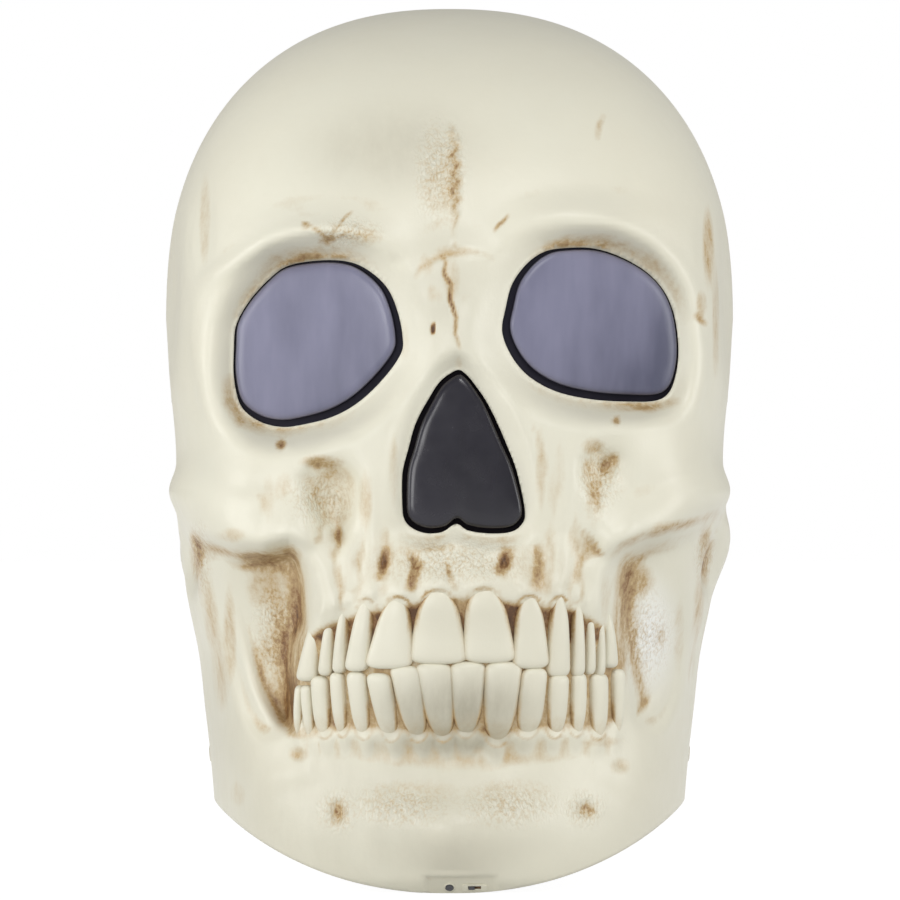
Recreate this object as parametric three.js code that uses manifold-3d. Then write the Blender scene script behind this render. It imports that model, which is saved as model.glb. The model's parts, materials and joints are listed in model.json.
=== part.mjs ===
// A jumbo halloween skull for the yard: a hollow, two-part blow moulding that stands on a
// flat base. Smoked panels close both eyes and the nose, each lit from a cup behind it. A
// push button and a slide switch sit under the chin, and the batteries load from behind.
// Millimetres. +X is to the right of someone who looks at the face, +Y runs from the face
// to the back of the head, +Z is up, and the skull stands on z = 0.

import * as THREE from 'three';
import { mergeVertices } from 'three/addons/utils/BufferGeometryUtils.js';
import Module from 'manifold-3d';

const wasm = await Module();
wasm.setup();

// Driving dimensions
const skull = { height: 900, width: 588, depth: 700, wall: 4 };
const gap = 0.3;
const overrun = 20;

// The moulding's form. Every table row is in shares: heights of the height, places across
// of the width, places and rises along the depth of the depth.
const domeShare = 0.642;
const domeRoundness = { across: 2.3, along: 2.2 };
const planRoundness = { back: 2.2, crown: 2.1 };
// height, half-width (of half the width), reach of the face, reach of the back, squareness
// of the face in plan
const profileShares = [
  [0.000, 0.800, 0.870, 0.640, 2.2],
  [0.017, 0.806, 0.910, 0.650, 2.2],
  [0.056, 0.820, 0.940, 0.680, 2.2],
  [0.090, 0.830, 0.935, 0.700, 2.2],
  [0.122, 0.838, 0.908, 0.715, 2.2],
  [0.189, 0.853, 0.884, 0.745, 2.2],
  [0.256, 0.872, 0.892, 0.752, 2.25],
  [0.333, 0.925, 0.908, 0.762, 2.4],
  [0.411, 0.958, 0.925, 0.840, 2.7],
  [0.500, 0.963, 0.925, 0.950, 3.0],
  [0.578, 0.985, 0.918, 0.996, 3.1],
  [0.642, 1.000, 0.914, 1.004, 3.0],
];
const jaw = { cornerShare: 0.091, backShare: 0.155, sweep: 2.25 };

// place across, height, half-width, half-height, rise (a dent where it is negative)
const faceHillShares = [
  [-0.219, 0.727, 0.180, 0.048, 0.024],
  [0.238, 0.741, 0.187, 0.048, 0.024],
  [0.014, 0.700, 0.100, 0.050, 0.014],
  [0.012, 0.612, 0.085, 0.090, 0.018],
  [0.026, 0.350, 0.270, 0.070, 0.018],
  [-0.378, 0.450, 0.120, 0.062, 0.026],
  [0.413, 0.462, 0.120, 0.062, 0.026],
  [-0.194, 0.437, 0.062, 0.072, -0.026],
  [0.267, 0.475, 0.060, 0.048, -0.020],
  [0.020, 0.160, 0.260, 0.036, -0.018],
  [0.020, 0.078, 0.190, 0.062, 0.022],
  [-0.350, 0.125, 0.090, 0.080, 0.014],
  [0.350, 0.125, 0.090, 0.080, 0.014],
];
const muzzleShares = [[0.018, 0.265, 0.300, 0.140, 0.034]];
const cheekHollowShares = [
  [-0.284, 0.267, 0.076, 0.118, 0.060],
  [0.322, 0.280, 0.076, 0.108, 0.044],
];
// place along, height, half-length, half-height, rise
const sideHillShares = [
  [-0.170, 0.445, 0.230, 0.034, 0.014],
  [-0.170, 0.665, 0.150, 0.115, -0.016],
  [-0.130, 0.365, 0.110, 0.056, -0.022],
  [-0.040, 0.250, 0.080, 0.150, 0.006],
  [0.100, 0.360, 0.070, 0.075, 0.018],
];
const backHillShares = [
  [0.000, 0.535, 0.300, 0.060, 0.012],
  [0.000, 0.425, 0.200, 0.060, -0.012],
];

// How finely the moulding is faceted, and how much closer its columns are ahead than beside
const outerMesh = { face: 40, back: 12, dome: 7, wall: 20, under: 2 };
const coreMesh = { face: 20, back: 12, dome: 5, wall: 13, under: 1 };
const crowding = 0.32;
const coreReach = 1.1; // how far round a place its dents draw in the hollow, in steps of its mesh

const smooth = (share) => share * share * (3 - 2 * share);
const ramp = (from, to, at) => smooth(THREE.MathUtils.clamp((at - from) / (to - from), 0, 1));
const { lerp } = THREE.MathUtils;

// A curve through the rows of a table, read at a share of the height
function alongTable(table, column, at) {
  const last = table.length - 2;
  const row = Math.min(Math.max(table.findIndex((entry) => entry[0] > at) - 1, 0), last);
  const found = at >= table[table.length - 1][0] ? last : row;
  const slope = (index) => {
    const [before, after] = [Math.max(index - 1, 0), Math.min(index + 1, table.length - 1)];
    return (table[after][column] - table[before][column]) / (table[after][0] - table[before][0]);
  };
  const [low, high] = [table[found], table[found + 1]];
  const step = high[0] - low[0];
  const share = THREE.MathUtils.clamp((at - low[0]) / step, 0, 1);
  const turned = share * share * (share - 1) * step * slope(found + 1);
  const started = share * (1 - share) ** 2 * step * slope(found);
  return lerp(low[column], high[column], smooth(share)) + started + turned;
}

// The lit openings. An outline is in shares of its own half-width and half-height, seen
// from the front and read against the clock from the lower left.
const leftEyeOutlineShares = [
  [-0.99, -0.07], [-0.99, -0.42], [-0.91, -0.74], [-0.70, -0.92], [-0.43, -0.99],
  [-0.16, -0.96], [0.20, -0.86], [0.51, -0.68], [0.80, -0.40], [0.99, -0.13],
  [1.01, 0.07], [0.95, 0.37], [0.83, 0.64], [0.62, 0.84], [0.38, 0.95],
  [0.05, 0.97], [-0.34, 0.91], [-0.57, 0.75], [-0.80, 0.50], [-0.96, 0.22],
];
const rightEyeOutlineShares = [
  [-1.00, -0.10], [-0.89, -0.42], [-0.69, -0.68], [-0.38, -0.87], [0.03, -0.97],
  [0.46, -1.00], [0.74, -0.99], [0.89, -0.89], [0.97, -0.66], [1.00, -0.38],
  [0.98, -0.05], [0.92, 0.24], [0.80, 0.50], [0.60, 0.72], [0.31, 0.90],
  [0.00, 1.00], [-0.36, 0.99], [-0.56, 0.93], [-0.74, 0.77], [-0.89, 0.52], [-0.96, 0.22],
];
const noseOutlineShares = [
  [-0.98, -0.64], [-0.95, -0.82], [-0.82, -0.93], [-0.59, -0.99], [-0.33, -0.97],
  [-0.11, -0.87], [0.07, -0.95], [0.38, -0.99], [0.74, -0.98], [0.93, -0.90],
  [1.00, -0.73], [0.86, -0.25], [0.68, 0.09], [0.41, 0.54], [0.19, 0.80],
  [0.02, 0.95], [-0.11, 0.98], [-0.36, 0.85], [-0.55, 0.63], [-0.75, 0.34],
  [-0.87, 0.03], [-0.97, -0.26],
];
const panel = {
  rise: 5, // how far a panel stands out of its seat
  round: 5, // the rounding of its front edge
  crown: 1.5,
  clearance: 5, // the trimmed gap round it
  flange: { reach: 9.5, thickness: 2 },
  boss: { reach: 14.5, radius: 3 },
  ear: { radius: 5.5, sides: 8 },
  cupFlange: { reach: 12, thickness: 2.5 },
  seat: 13, // how far the flat seat runs past the panel
  sides: 24,
  fineness: 10, // how many points of the outline are read for each side
};
// How steeply the eyes' seats run back, sideways and upwards
const eyeLean = Math.tan(THREE.MathUtils.degToRad(22));
const eyeNod = -0.04;
const lightWindows = {
  left_eye: {
    acrossShare: -0.226, upShare: 0.611, outShare: -0.383, halfWidthShare: 0.141,
    halfHeightShare: 0.092, lean: -eyeLean, nod: eyeNod, rimShare: 0.056, cupShare: 0.055,
    outlineShares: leftEyeOutlineShares, screwTurns: [0.08, 0.42, 0.75],
  },
  right_eye: {
    acrossShare: 0.241, upShare: 0.631, outShare: -0.383, halfWidthShare: 0.1475,
    halfHeightShare: 0.083, lean: eyeLean, nod: eyeNod, rimShare: 0.056, cupShare: 0.055,
    outlineShares: rightEyeOutlineShares, screwTurns: [0.08, 0.42, 0.75],
  },
  nose: {
    acrossShare: 0.023, upShare: 0.490, outShare: -0.452, halfWidthShare: 0.102,
    halfHeightShare: 0.089, lean: 0, nod: 0, rimShare: 0.036, cupShare: 0.045,
    outlineShares: noseOutlineShares, screwTurns: [0.25, 0.60, 0.90],
  },
};

// The outline of a window as a reach from its middle, one for each of its sides
function windowReach(opening) {
  const halfWidth = opening.halfWidthShare * skull.width;
  const halfHeight = opening.halfHeightShare * skull.height;
  const corners = opening.outlineShares.map(([across, up]) => (
    new THREE.Vector3(across * halfWidth, up * halfHeight, 0)));
  const curve = new THREE.CatmullRomCurve3(corners, true);
  const fine = panel.sides * panel.fineness;
  const trace = curve.getPoints(fine).slice(0, fine);
  const turned = trace.map((point) => ({
    turn: (Math.atan2(point.y, point.x) / (2 * Math.PI) + 1) % 1,
    reach: point.length(),
  }));
  turned.sort((one, other) => one.turn - other.turn);
  const first = { turn: turned[0].turn + 1, reach: turned[0].reach };
  return Array.from({ length: panel.sides }, (_, side) => {
    const turn = side / panel.sides;
    const after = turned.findIndex((entry) => entry.turn >= turn);
    const high = after < 0 ? first : turned[after];
    const low = turned[(after < 0 ? turned.length : Math.max(after, 1)) - 1];
    const share = THREE.MathUtils.clamp((turn - low.turn) / (high.turn - low.turn || 1), 0, 1);
    return lerp(low.reach, high.reach, share);
  });
}
Object.values(lightWindows).forEach((opening) => {
  opening.x = opening.acrossShare * skull.width;
  opening.z = opening.upShare * skull.height;
  opening.y = opening.outShare * skull.depth;
  opening.reach = windowReach(opening);
});

// The seat plane of a window, and how far a place on the face lies outside its outline
function seatDepth(opening, x, z) {
  return opening.y + (x - opening.x) * opening.lean + (z - opening.z) * opening.nod;
}

function outsideWindow(opening, x, z) {
  const [across, up] = [x - opening.x, z - opening.z];
  const side = ((Math.atan2(up, across) / (2 * Math.PI) + 1) % 1) * panel.sides;
  const low = Math.floor(side) % panel.sides;
  const reach = lerp(opening.reach[low], opening.reach[(low + 1) % panel.sides], side % 1);
  return Math.hypot(across, up) - reach;
}

// A rounded hill, and one with a flat top, each from 1 in its middle to 0 at its edge
function hill(across, up) {
  const away = Math.hypot(across, up);
  return away < 1 ? (1 + Math.cos(Math.PI * away)) / 2 : 0;
}
const mesa = { flatShare: 0.35, squareness: 3 };
function flatHill(across, up) {
  const { flatShare, squareness } = mesa;
  const away = (Math.abs(across) ** squareness + Math.abs(up) ** squareness) ** (1 / squareness);
  return 1 - ramp(flatShare, 1, away);
}

function hills(table, span, at, z, rise, shape = hill) {
  return table.reduce((sum, [middle, height, halfSpan, halfHeight, riseShare]) => sum
    + rise * riseShare * shape(
      (at / span - middle) / halfSpan,
      (z / skull.height - height) / halfHeight,
    ), 0);
}

function faceRise(x, z) {
  return hills(faceHillShares, skull.width, x, z, skull.depth)
    + hills(muzzleShares, skull.width, x, z, skull.depth, flatHill);
}

// The flat pad on the back of the head that carries the battery door
const pad = {
  outShare: 0.369, upShare: 0.278, width: 152, height: 124, depth: 14, rim: 26,
};
pad.y = pad.outShare * skull.depth;
pad.z = pad.upShare * skull.height;

// How squarely a place must face a way before the hills on that side show in full
const edgeOn = 0.35;
const sideOn = { from: 0.2, to: 0.75 };

// How far a place on the plain egg of the skull is moved: back from the face, in from the
// sides and forward from the back of the head
function dents(place, angle) {
  const facing = Math.cos(angle);
  const dent = { face: 0, side: 0, back: 0 };
  if (facing > 0) {
    const shown = ramp(0, edgeOn, facing);
    const sunk = hills(cheekHollowShares, skull.width, place.x, place.z, skull.depth, flatHill);
    dent.face = shown * (sunk - faceRise(place.x, place.z));
    Object.values(lightWindows).forEach((opening) => {
      const rim = opening.rimShare * skull.width;
      const outside = outsideWindow(opening, place.x, place.z) - panel.seat;
      const sinks = seatDepth(opening, place.x, place.z) - place.y;
      dent.face = lerp(dent.face, Math.max(sinks, dent.face), 1 - ramp(0, rim, outside));
    });
  } else {
    const shown = ramp(0, edgeOn, -facing);
    const raised = hills(backHillShares, skull.width, place.x, place.z, skull.depth);
    dent.back = -shown * raised;
    const outside = Math.max(
      Math.abs(place.x) - pad.width / 2,
      Math.abs(place.z - pad.z) - pad.height / 2,
    );
    dent.back = lerp(dent.back, place.y - pad.y, 1 - ramp(0, pad.rim, outside));
  }
  const sideways = ramp(sideOn.from, sideOn.to, Math.abs(Math.sin(angle)));
  dent.side = -sideways * hills(sideHillShares, skull.depth, place.y, place.z, skull.width);
  return dent;
}

// The rounded wedge that the skull stands on, as a reach from the middle at an angle from
// straight ahead
const footprint = {
  frontShare: 0.417, backShare: 0.320, narrowShare: 0.085, wideShare: 0.25, squareness: 5,
};
function footprintReach(angle, inset) {
  const front = footprint.frontShare * skull.depth;
  const back = footprint.backShare * skull.depth;
  const narrow = footprint.narrowShare * skull.width;
  const wide = footprint.wideShare * skull.width;
  const flare = (wide - narrow) / (front + back);
  const middle = narrow + flare * front;
  const lean = Math.hypot(1, flare);
  const [ahead, across] = [Math.cos(angle), Math.abs(Math.sin(angle))];
  const toFront = Math.max(ahead, 0) / (front - inset);
  const toBack = Math.max(-ahead, 0) / (back - inset);
  const toSide = Math.max(across + flare * ahead, 0) / (middle - inset * lean);
  const { squareness } = footprint;
  const sum = toFront ** squareness + toBack ** squareness + toSide ** squareness;
  return sum ** (-1 / squareness);
}

// A place on the skull. The level runs from 0 at the crown, past the widest height and the
// lower border, to the edge of the footprint. The inset draws the place inwards.
const levelOf = { widest: 1, border: 2 };
const underCurve = 1.3; // how roundly the underside runs from the border to the footprint
function planReach(angle, halfWidth, ahead, round) {
  const across = Math.abs(Math.sin(angle)) / halfWidth;
  const along = Math.abs(Math.cos(angle)) / ahead;
  return (across ** round + along ** round) ** (-1 / round);
}

function eggPlace(angle, level, inset, floor) {
  const facing = Math.cos(angle) > 0;
  const outwards = new THREE.Vector3(Math.sin(angle), -Math.cos(angle), 0);
  const domeBase = domeShare * skull.height;
  const at = (column, share, half) => alongTable(profileShares, column, share) * half - inset;
  const plan = (share, shrink) => {
    const halfWidth = at(1, share, skull.width / 2) * shrink.across;
    const ahead = at(facing ? 2 : 3, share, skull.depth / 2) * shrink.along;
    const full = facing ? alongTable(profileShares, 4, share) : planRoundness.back;
    return planReach(angle, halfWidth, ahead, lerp(planRoundness.crown, full, shrink.across));
  };
  if (level < levelOf.widest) {
    const upright = Math.cos(level * Math.PI / 2) ** 2;
    const lift = upright ** (1 / domeRoundness.across);
    const shrink = {
      across: (1 - upright) ** (1 / domeRoundness.across),
      along: (1 - upright) ** (1 / domeRoundness.along),
    };
    outwards.multiplyScalar(plan(domeShare, shrink));
    outwards.z = domeBase + (skull.height - domeBase - inset) * lift;
    return outwards;
  }
  const whole = { across: 1, along: 1 };
  const corner = jaw.cornerShare * skull.height;
  const sideReach = plan(jaw.cornerShare, whole) * Math.abs(Math.sin(angle));
  const sideShare = sideReach / at(1, jaw.cornerShare, skull.width / 2);
  const backRise = ramp(0, 1, -Math.cos(angle)) * (jaw.backShare * skull.height - corner);
  const swept = facing ? corner * sideShare ** jaw.sweep : corner + backRise;
  const border = swept + floor;
  const height = lerp(domeBase, border, Math.min(level - levelOf.widest, 1));
  outwards.multiplyScalar(plan(height / skull.height, whole));
  outwards.z = height;
  if (level > levelOf.border) {
    const foot = footprintReach(angle, inset + floor);
    const under = level - levelOf.border;
    const reach = lerp(Math.hypot(outwards.x, outwards.y), foot, under);
    outwards.set(Math.sin(angle) * reach, -Math.cos(angle) * reach, 0);
    outwards.z = lerp(floor, border, (1 - under) ** underCurve);
  }
  return outwards;
}

function skinPlace(angle, level) {
  const place = eggPlace(angle, level, 0, 0);
  if (level <= levelOf.border) {
    const dent = dents(place, angle);
    place.x -= Math.sign(Math.sin(angle)) * dent.side;
    place.y += dent.face - dent.back;
  }
  return place;
}

// Rings of places from the crown down, closer together on the face than on the back
function skullRings(mesh, placeAt) {
  const angles = [
    ...Array.from({ length: mesh.face }, (_, i) => {
      const share = (2 * i + 1) / mesh.face - 1;
      return share * (1 - crowding * (1 - share ** 2)) * Math.PI / 2;
    }),
    ...Array.from({ length: mesh.back }, (_, i) => ((i + 0.5) / mesh.back + 0.5) * Math.PI),
  ];
  const levels = [
    ...Array.from({ length: mesh.dome }, (_, i) => (i + 1) / mesh.dome),
    ...Array.from({ length: mesh.wall }, (_, i) => levelOf.widest + (i + 1) / mesh.wall),
    ...Array.from({ length: mesh.under }, (_, i) => levelOf.border + (i + 1) / mesh.under),
  ];
  return levels.map((level) => angles.map((angle) => placeAt(angle, level)));
}

// A closed skin over a row of rings. Each end is closed with a fan to a tip, which is the
// ring's middle where none is given.
function loft(rings, tips = []) {
  const sides = rings[0].length;
  const places = rings.flat().map((place) => place.clone());
  const faces = [];
  for (let row = 0; row < rings.length - 1; row += 1) {
    for (let side = 0; side < sides; side += 1) {
      const [here, next] = [row * sides + side, row * sides + ((side + 1) % sides)];
      faces.push(here, here + sides, next, next, here + sides, next + sides);
    }
  }
  [0, rings.length - 1].forEach((row, end) => {
    const middle = new THREE.Vector3();
    rings[row].forEach((place) => middle.addScaledVector(place, 1 / sides));
    const tip = places.push(tips[end] ?? middle) - 1;
    for (let side = 0; side < sides; side += 1) {
      const [here, next] = [row * sides + side, row * sides + ((side + 1) % sides)];
      faces.push(...(end ? [here, tip, next] : [next, tip, here]));
    }
  });
  return facedOut(places, faces);
}

function facedOut(places, faces) {
  let volume = 0;
  for (let i = 0; i < faces.length; i += 3) {
    const [a, b, c] = [places[faces[i]], places[faces[i + 1]], places[faces[i + 2]]];
    volume += a.dot(b.clone().cross(c));
  }
  const geometry = new THREE.BufferGeometry();
  geometry.setFromPoints(places);
  geometry.setIndex(volume > 0 ? faces : faces.slice().reverse());
  return geometry;
}

// Solids: closed geometry in, booleans between them, geometry out
function solid(geometry) {
  const bare = geometry.clone();
  bare.deleteAttribute('normal');
  bare.deleteAttribute('uv');
  const merged = mergeVertices(bare);
  return new wasm.Manifold(new wasm.Mesh({
    numProp: 3,
    vertProperties: new Float32Array(merged.attributes.position.array),
    triVerts: new Uint32Array(merged.index.array),
  }));
}

function geometryOf(body) {
  const mesh = body.getMesh();
  const geometry = new THREE.BufferGeometry();
  geometry.setAttribute('position', new THREE.BufferAttribute(mesh.vertProperties, 3));
  geometry.setIndex(new THREE.BufferAttribute(mesh.triVerts, 1));
  return geometry;
}

const joined = (bodies) => bodies.reduce((whole, body) => whole.add(body));
const cut = (body, tools) => tools.reduce((left, tool) => left.subtract(tool), body);

// Plain stock: a block between two corners, and a rod along an axis between two ends
function block(low, high) {
  const size = new THREE.Vector3().subVectors(high, low);
  const middle = new THREE.Vector3().addVectors(low, high).divideScalar(2);
  return new THREE.BoxGeometry(size.x, size.y, size.z).translate(middle.x, middle.y, middle.z);
}

const axes = {
  x: new THREE.Vector3(1, 0, 0), y: new THREE.Vector3(0, 1, 0), z: new THREE.Vector3(0, 0, 1),
};
function turnTo(geometry, direction, place) {
  const turn = new THREE.Quaternion().setFromUnitVectors(axes.z, direction);
  return geometry.applyQuaternion(turn).translate(place.x, place.y, place.z);
}

function along(place, direction, distance) {
  return place.clone().addScaledVector(direction, distance);
}

function rod(radius, from, to, sides) {
  const length = from.distanceTo(to);
  const bar = new THREE.CylinderGeometry(radius, radius, length, sides).rotateX(Math.PI / 2);
  const direction = new THREE.Vector3().subVectors(to, from).normalize();
  return turnTo(bar, direction, new THREE.Vector3().addVectors(from, to).divideScalar(2));
}

// A turned piece, from a profile of radius and height, standing on a place along a direction
function turned(profile, sides, direction, place) {
  const points = profile.map(([radius, height]) => new THREE.Vector2(radius, height));
  return turnTo(new THREE.LatheGeometry(points, sides).rotateX(Math.PI / 2), direction, place);
}

// A pan-headed screw. Its place is under its head, and it points the other way.
const smallScrew = {
  radius: 1.4, head: 2.9, top: 2.3, headHeight: 1.8, sides: 6, hole: 1.95,
};
const seamScrew = {
  radius: 1.9, head: 4, top: 3.2, headHeight: 2.2, sides: 6, hole: 2.4, sink: 4.7,
};
function screw(size, length, headDirection, place) {
  const profile = [
    [0, -length], [size.radius, -length + size.radius], [size.radius, 0], [size.head, 0],
    [size.top, size.headHeight], [0, size.headHeight],
  ];
  return turned(profile, size.sides, headDirection, place);
}

// Finishes
const finish = (color, roughness, metalness = 0) => (
  new THREE.MeshStandardMaterial({ color, roughness, metalness }));
const finishes = {
  bone: () => finish(0xd9d5c4, 0.55),
  eyePanel: () => finish(0x85869b, 0.35),
  nosePanel: () => finish(0x35343c, 0.2),
  cup: () => finish(0xe6e6e2, 0.4),
  board: () => finish(0x2f5d3a, 0.5),
  steel: () => finish(0x9c9c98, 0.35, 0.9),
  darkPlastic: () => finish(0x2a2a2c, 0.5),
  button: () => finish(0x4a4a4e, 0.45),
  cell: () => finish(0x3c4046, 0.35, 0.3),
  lead: () => finish(0x26221f, 0.5),
};

const model = new THREE.Group();
function addPiece(name, shape, material, group = model) {
  const geometry = shape.isBufferGeometry ? shape : geometryOf(shape);
  const mesh = new THREE.Mesh(geometry, material);
  mesh.name = name;
  group.add(mesh);
  return mesh;
}

// The hollow: the skull's own form, drawn in by the wall and clear of every dent near it
const floor = {
  plate: 5, flange: 4, flangeReach: 26, boss: 10,
};
floor.top = floor.plate + gap + floor.flange;

function corePlace(inset) {
  const angleStep = Math.PI / coreMesh.face;
  const levelStep = 1 / coreMesh.wall;
  return (angle, level) => {
    const place = eggPlace(angle, level, inset, floor.top);
    const deepest = { face: -Infinity, side: -Infinity, back: -Infinity };
    const steps = [-coreReach, -coreReach / 2, 0, coreReach / 2, coreReach];
    steps.forEach((aside) => steps.forEach((below) => {
      const nearAngle = angle + aside * angleStep;
      const nearLevel = Math.min(Math.max(level + below * levelStep, levelStep / 2), levelOf.border);
      const near = dents(eggPlace(nearAngle, nearLevel, 0, 0), nearAngle);
      Object.keys(deepest).forEach((way) => {
        deepest[way] = Math.max(deepest[way], near[way]);
      });
    }));
    if (level <= levelOf.border) {
      place.x -= Math.sign(Math.sin(angle)) * deepest.side;
      place.y += deepest.face - deepest.back;
    }
    return place;
  };
}

function skullSolid(mesh, placeAt, inset) {
  return solid(loft(skullRings(mesh, placeAt), [new THREE.Vector3(0, 0, skull.height - inset)]));
}

const outer = skullSolid(outerMesh, skinPlace, 0);
const coreSolid = (inset) => skullSolid(coreMesh, corePlace(inset), inset);
const core = coreSolid(skull.wall);

// The teeth: crowns set along both arches, each turned to face straight out of its arch.
// Each crown's gum and then its biting edge: place across, height and width.
const upperToothShares = [
  [-0.222, 0.297, 0.017, -0.244, 0.236, 0.039],
  [-0.198, 0.302, 0.013, -0.210, 0.243, 0.025],
  [-0.176, 0.308, 0.017, -0.186, 0.246, 0.024],
  [-0.139, 0.317, 0.030, -0.158, 0.248, 0.040],
  [-0.087, 0.319, 0.046, -0.104, 0.252, 0.074],
  [-0.019, 0.327, 0.061, -0.019, 0.257, 0.091],
  [0.058, 0.329, 0.062, 0.068, 0.258, 0.083],
  [0.134, 0.320, 0.044, 0.137, 0.252, 0.059],
  [0.185, 0.319, 0.032, 0.183, 0.242, 0.042],
  [0.215, 0.316, 0.019, 0.217, 0.242, 0.024],
  [0.234, 0.309, 0.013, 0.237, 0.244, 0.019],
  [0.252, 0.302, 0.013, 0.254, 0.242, 0.017],
  [0.266, 0.300, 0.013, 0.272, 0.251, 0.030],
];
const lowerToothShares = [
  [-0.256, 0.186, 0.013, -0.252, 0.228, 0.017],
  [-0.234, 0.180, 0.017, -0.242, 0.228, 0.020],
  [-0.212, 0.185, 0.029, -0.220, 0.239, 0.032],
  [-0.181, 0.187, 0.022, -0.193, 0.243, 0.024],
  [-0.144, 0.185, 0.024, -0.166, 0.244, 0.030],
  [-0.099, 0.182, 0.027, -0.127, 0.243, 0.034],
  [-0.055, 0.182, 0.030, -0.078, 0.252, 0.044],
  [-0.011, 0.182, 0.032, -0.028, 0.255, 0.057],
  [0.026, 0.187, 0.035, 0.033, 0.256, 0.056],
  [0.080, 0.177, 0.039, 0.092, 0.256, 0.059],
  [0.131, 0.186, 0.040, 0.144, 0.248, 0.042],
  [0.178, 0.186, 0.030, 0.185, 0.241, 0.035],
  [0.215, 0.187, 0.025, 0.218, 0.242, 0.027],
  [0.252, 0.182, 0.029, 0.252, 0.241, 0.037],
  [0.284, 0.187, 0.019, 0.286, 0.245, 0.027],
];
// height from gum to bite, width, how far the front stands out
const crownShares = [[-0.04, 0.8, 0.1], [0.3, 1, 0.9], [0.9, 1, 0.9], [1, 0.9, 0.3]];
const tooth = {
  proudShare: 0.010, rootShare: 0.014, thinShare: 0.009, facets: 6, squareness: 0.55, turnShare: 0.9,
};

// The face's depth at a place across and up
function faceDepth(x, z) {
  const share = z / skull.height;
  const halfWidth = alongTable(profileShares, 1, share) * skull.width / 2;
  const ahead = alongTable(profileShares, 2, share) * skull.depth / 2;
  const round = alongTable(profileShares, 4, share);
  const y = -ahead * (1 - (Math.abs(x) / halfWidth) ** round) ** (1 / round);
  return y - faceRise(x, z);
}

function toothShape([gumAcross, gumUp, gumWide, biteAcross, biteUp, biteWide]) {
  const middleX = lerp(gumAcross, biteAcross, 0.5) * skull.width;
  const middleZ = lerp(gumUp, biteUp, 0.5) * skull.height;
  const half = lerp(gumWide, biteWide, 0.5) * skull.width / 2;
  const turned = faceDepth(middleX + half, middleZ) - faceDepth(middleX - half, middleZ);
  const root = tooth.rootShare * skull.depth;
  const proud = tooth.proudShare * skull.depth;
  const thin = tooth.thinShare * skull.depth;
  const rings = crownShares.map(([up, wide, out]) => {
    const x = lerp(gumAcross, biteAcross, up) * skull.width - middleX;
    const z = lerp(gumUp, biteUp, up) * skull.height;
    const halfWidth = lerp(gumWide, biteWide, up) * skull.width / 2;
    return Array.from({ length: tooth.facets }, (_, i) => {
      const turn = (i + 0.5) / tooth.facets * 2 * Math.PI;
      const [across, along] = [Math.cos(turn), Math.sin(turn)].map((share) => (
        Math.sign(share) * Math.abs(share) ** tooth.squareness));
      const reachBack = along < 0 ? proud * out + thin : root;
      return new THREE.Vector3(x + across * halfWidth * wide, along * reachBack, z);
    });
  });
  const crown = loft(rings).rotateZ(Math.atan(turned / (2 * half)) * tooth.turnShare);
  return solid(crown.translate(middleX, faceDepth(middleX, middleZ) + thin, 0));
}
const teeth = joined([...upperToothShares, ...lowerToothShares].map(toothShape));

// Rings that follow a window: its outline, moved out by a reach or drawn to its middle by a
// scale, at a distance behind its seat plane
function windowRing(opening, outwards, behind, scale = 1, every = 1) {
  const kept = opening.reach.filter((_, side) => side % every === 0);
  return kept.map((reach, side) => {
    const turn = side / kept.length * 2 * Math.PI;
    const x = opening.x + Math.cos(turn) * (reach * scale + outwards);
    const z = opening.z + Math.sin(turn) * (reach * scale + outwards);
    return new THREE.Vector3(x, seatDepth(opening, x, z) + behind, z);
  });
}

// A small round pad that follows the seat plane, between two distances behind it
function seatPad(opening, [middleX, middleZ], radius, from, to) {
  const ringAt = (behind) => Array.from({ length: panel.ear.sides }, (_, side) => {
    const turn = side / panel.ear.sides * 2 * Math.PI;
    const x = middleX + Math.cos(turn) * radius;
    const z = middleZ + Math.sin(turn) * radius;
    return new THREE.Vector3(x, seatDepth(opening, x, z) + behind, z);
  });
  return solid(loft([ringAt(from), ringAt(to)]));
}

// Distances behind the seat plane: the seat's wall, the panel's flange, then the cup's
const layers = { seatBack: skull.wall };
layers.flangeFront = layers.seatBack + gap;
layers.flangeBack = layers.flangeFront + panel.flange.thickness;
layers.cupFront = layers.flangeBack + gap;
layers.cupFlangeBack = layers.cupFront + panel.cupFlange.thickness;

function screwPlaces(opening) {
  return opening.screwTurns.map((turn) => {
    const side = Math.round(turn * panel.sides);
    const angle = side / panel.sides * 2 * Math.PI;
    const reach = opening.reach[side] + panel.boss.reach;
    return [opening.x + Math.cos(angle) * reach, opening.z + Math.sin(angle) * reach];
  });
}

// The bosses behind the seat that the cup is screwed to
function windowBosses(opening) {
  return joined(screwPlaces(opening).map((place) => (
    seatPad(opening, place, panel.boss.radius, layers.seatBack / 2, layers.flangeBack))));
}

function windowOpening(opening) {
  return solid(loft([
    windowRing(opening, panel.clearance, -skull.depth / 8),
    windowRing(opening, panel.clearance, skull.depth / 8),
  ]));
}

// The room behind the seat, for the panel's flange, the cup and its ears
function windowRoom(opening) {
  const depth = opening.cupShare * skull.depth;
  const room = solid(loft([
    windowRing(opening, panel.seat, layers.seatBack),
    windowRing(opening, panel.seat, depth),
  ]));
  return joined([room, ...screwPlaces(opening).map((place) => (
    seatPad(opening, place, panel.ear.radius + 2 * gap, layers.seatBack, depth)))]);
}

function windowScrewHoles(opening) {
  return screwPlaces(opening).map(([x, z]) => {
    const seat = seatDepth(opening, x, z);
    const from = new THREE.Vector3(x, seat + layers.seatBack / 2 - gap, z);
    return solid(rod(smallScrew.hole, from, along(from, axes.y, overrun), smallScrew.sides));
  });
}

// The seam: the back shell carries tabs that slide inside the front shell
const seam = {
  tab: { thickness: 3, length: 18, root: 12, width: 30 },
  nub: { radius: 8, rise: 1.5, sides: 10 },
  sides: 8,
  boss: { radius: 5, length: 6 },
  behind: 9,
  screwHeightShares: [0.141, 0.55],
};

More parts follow.
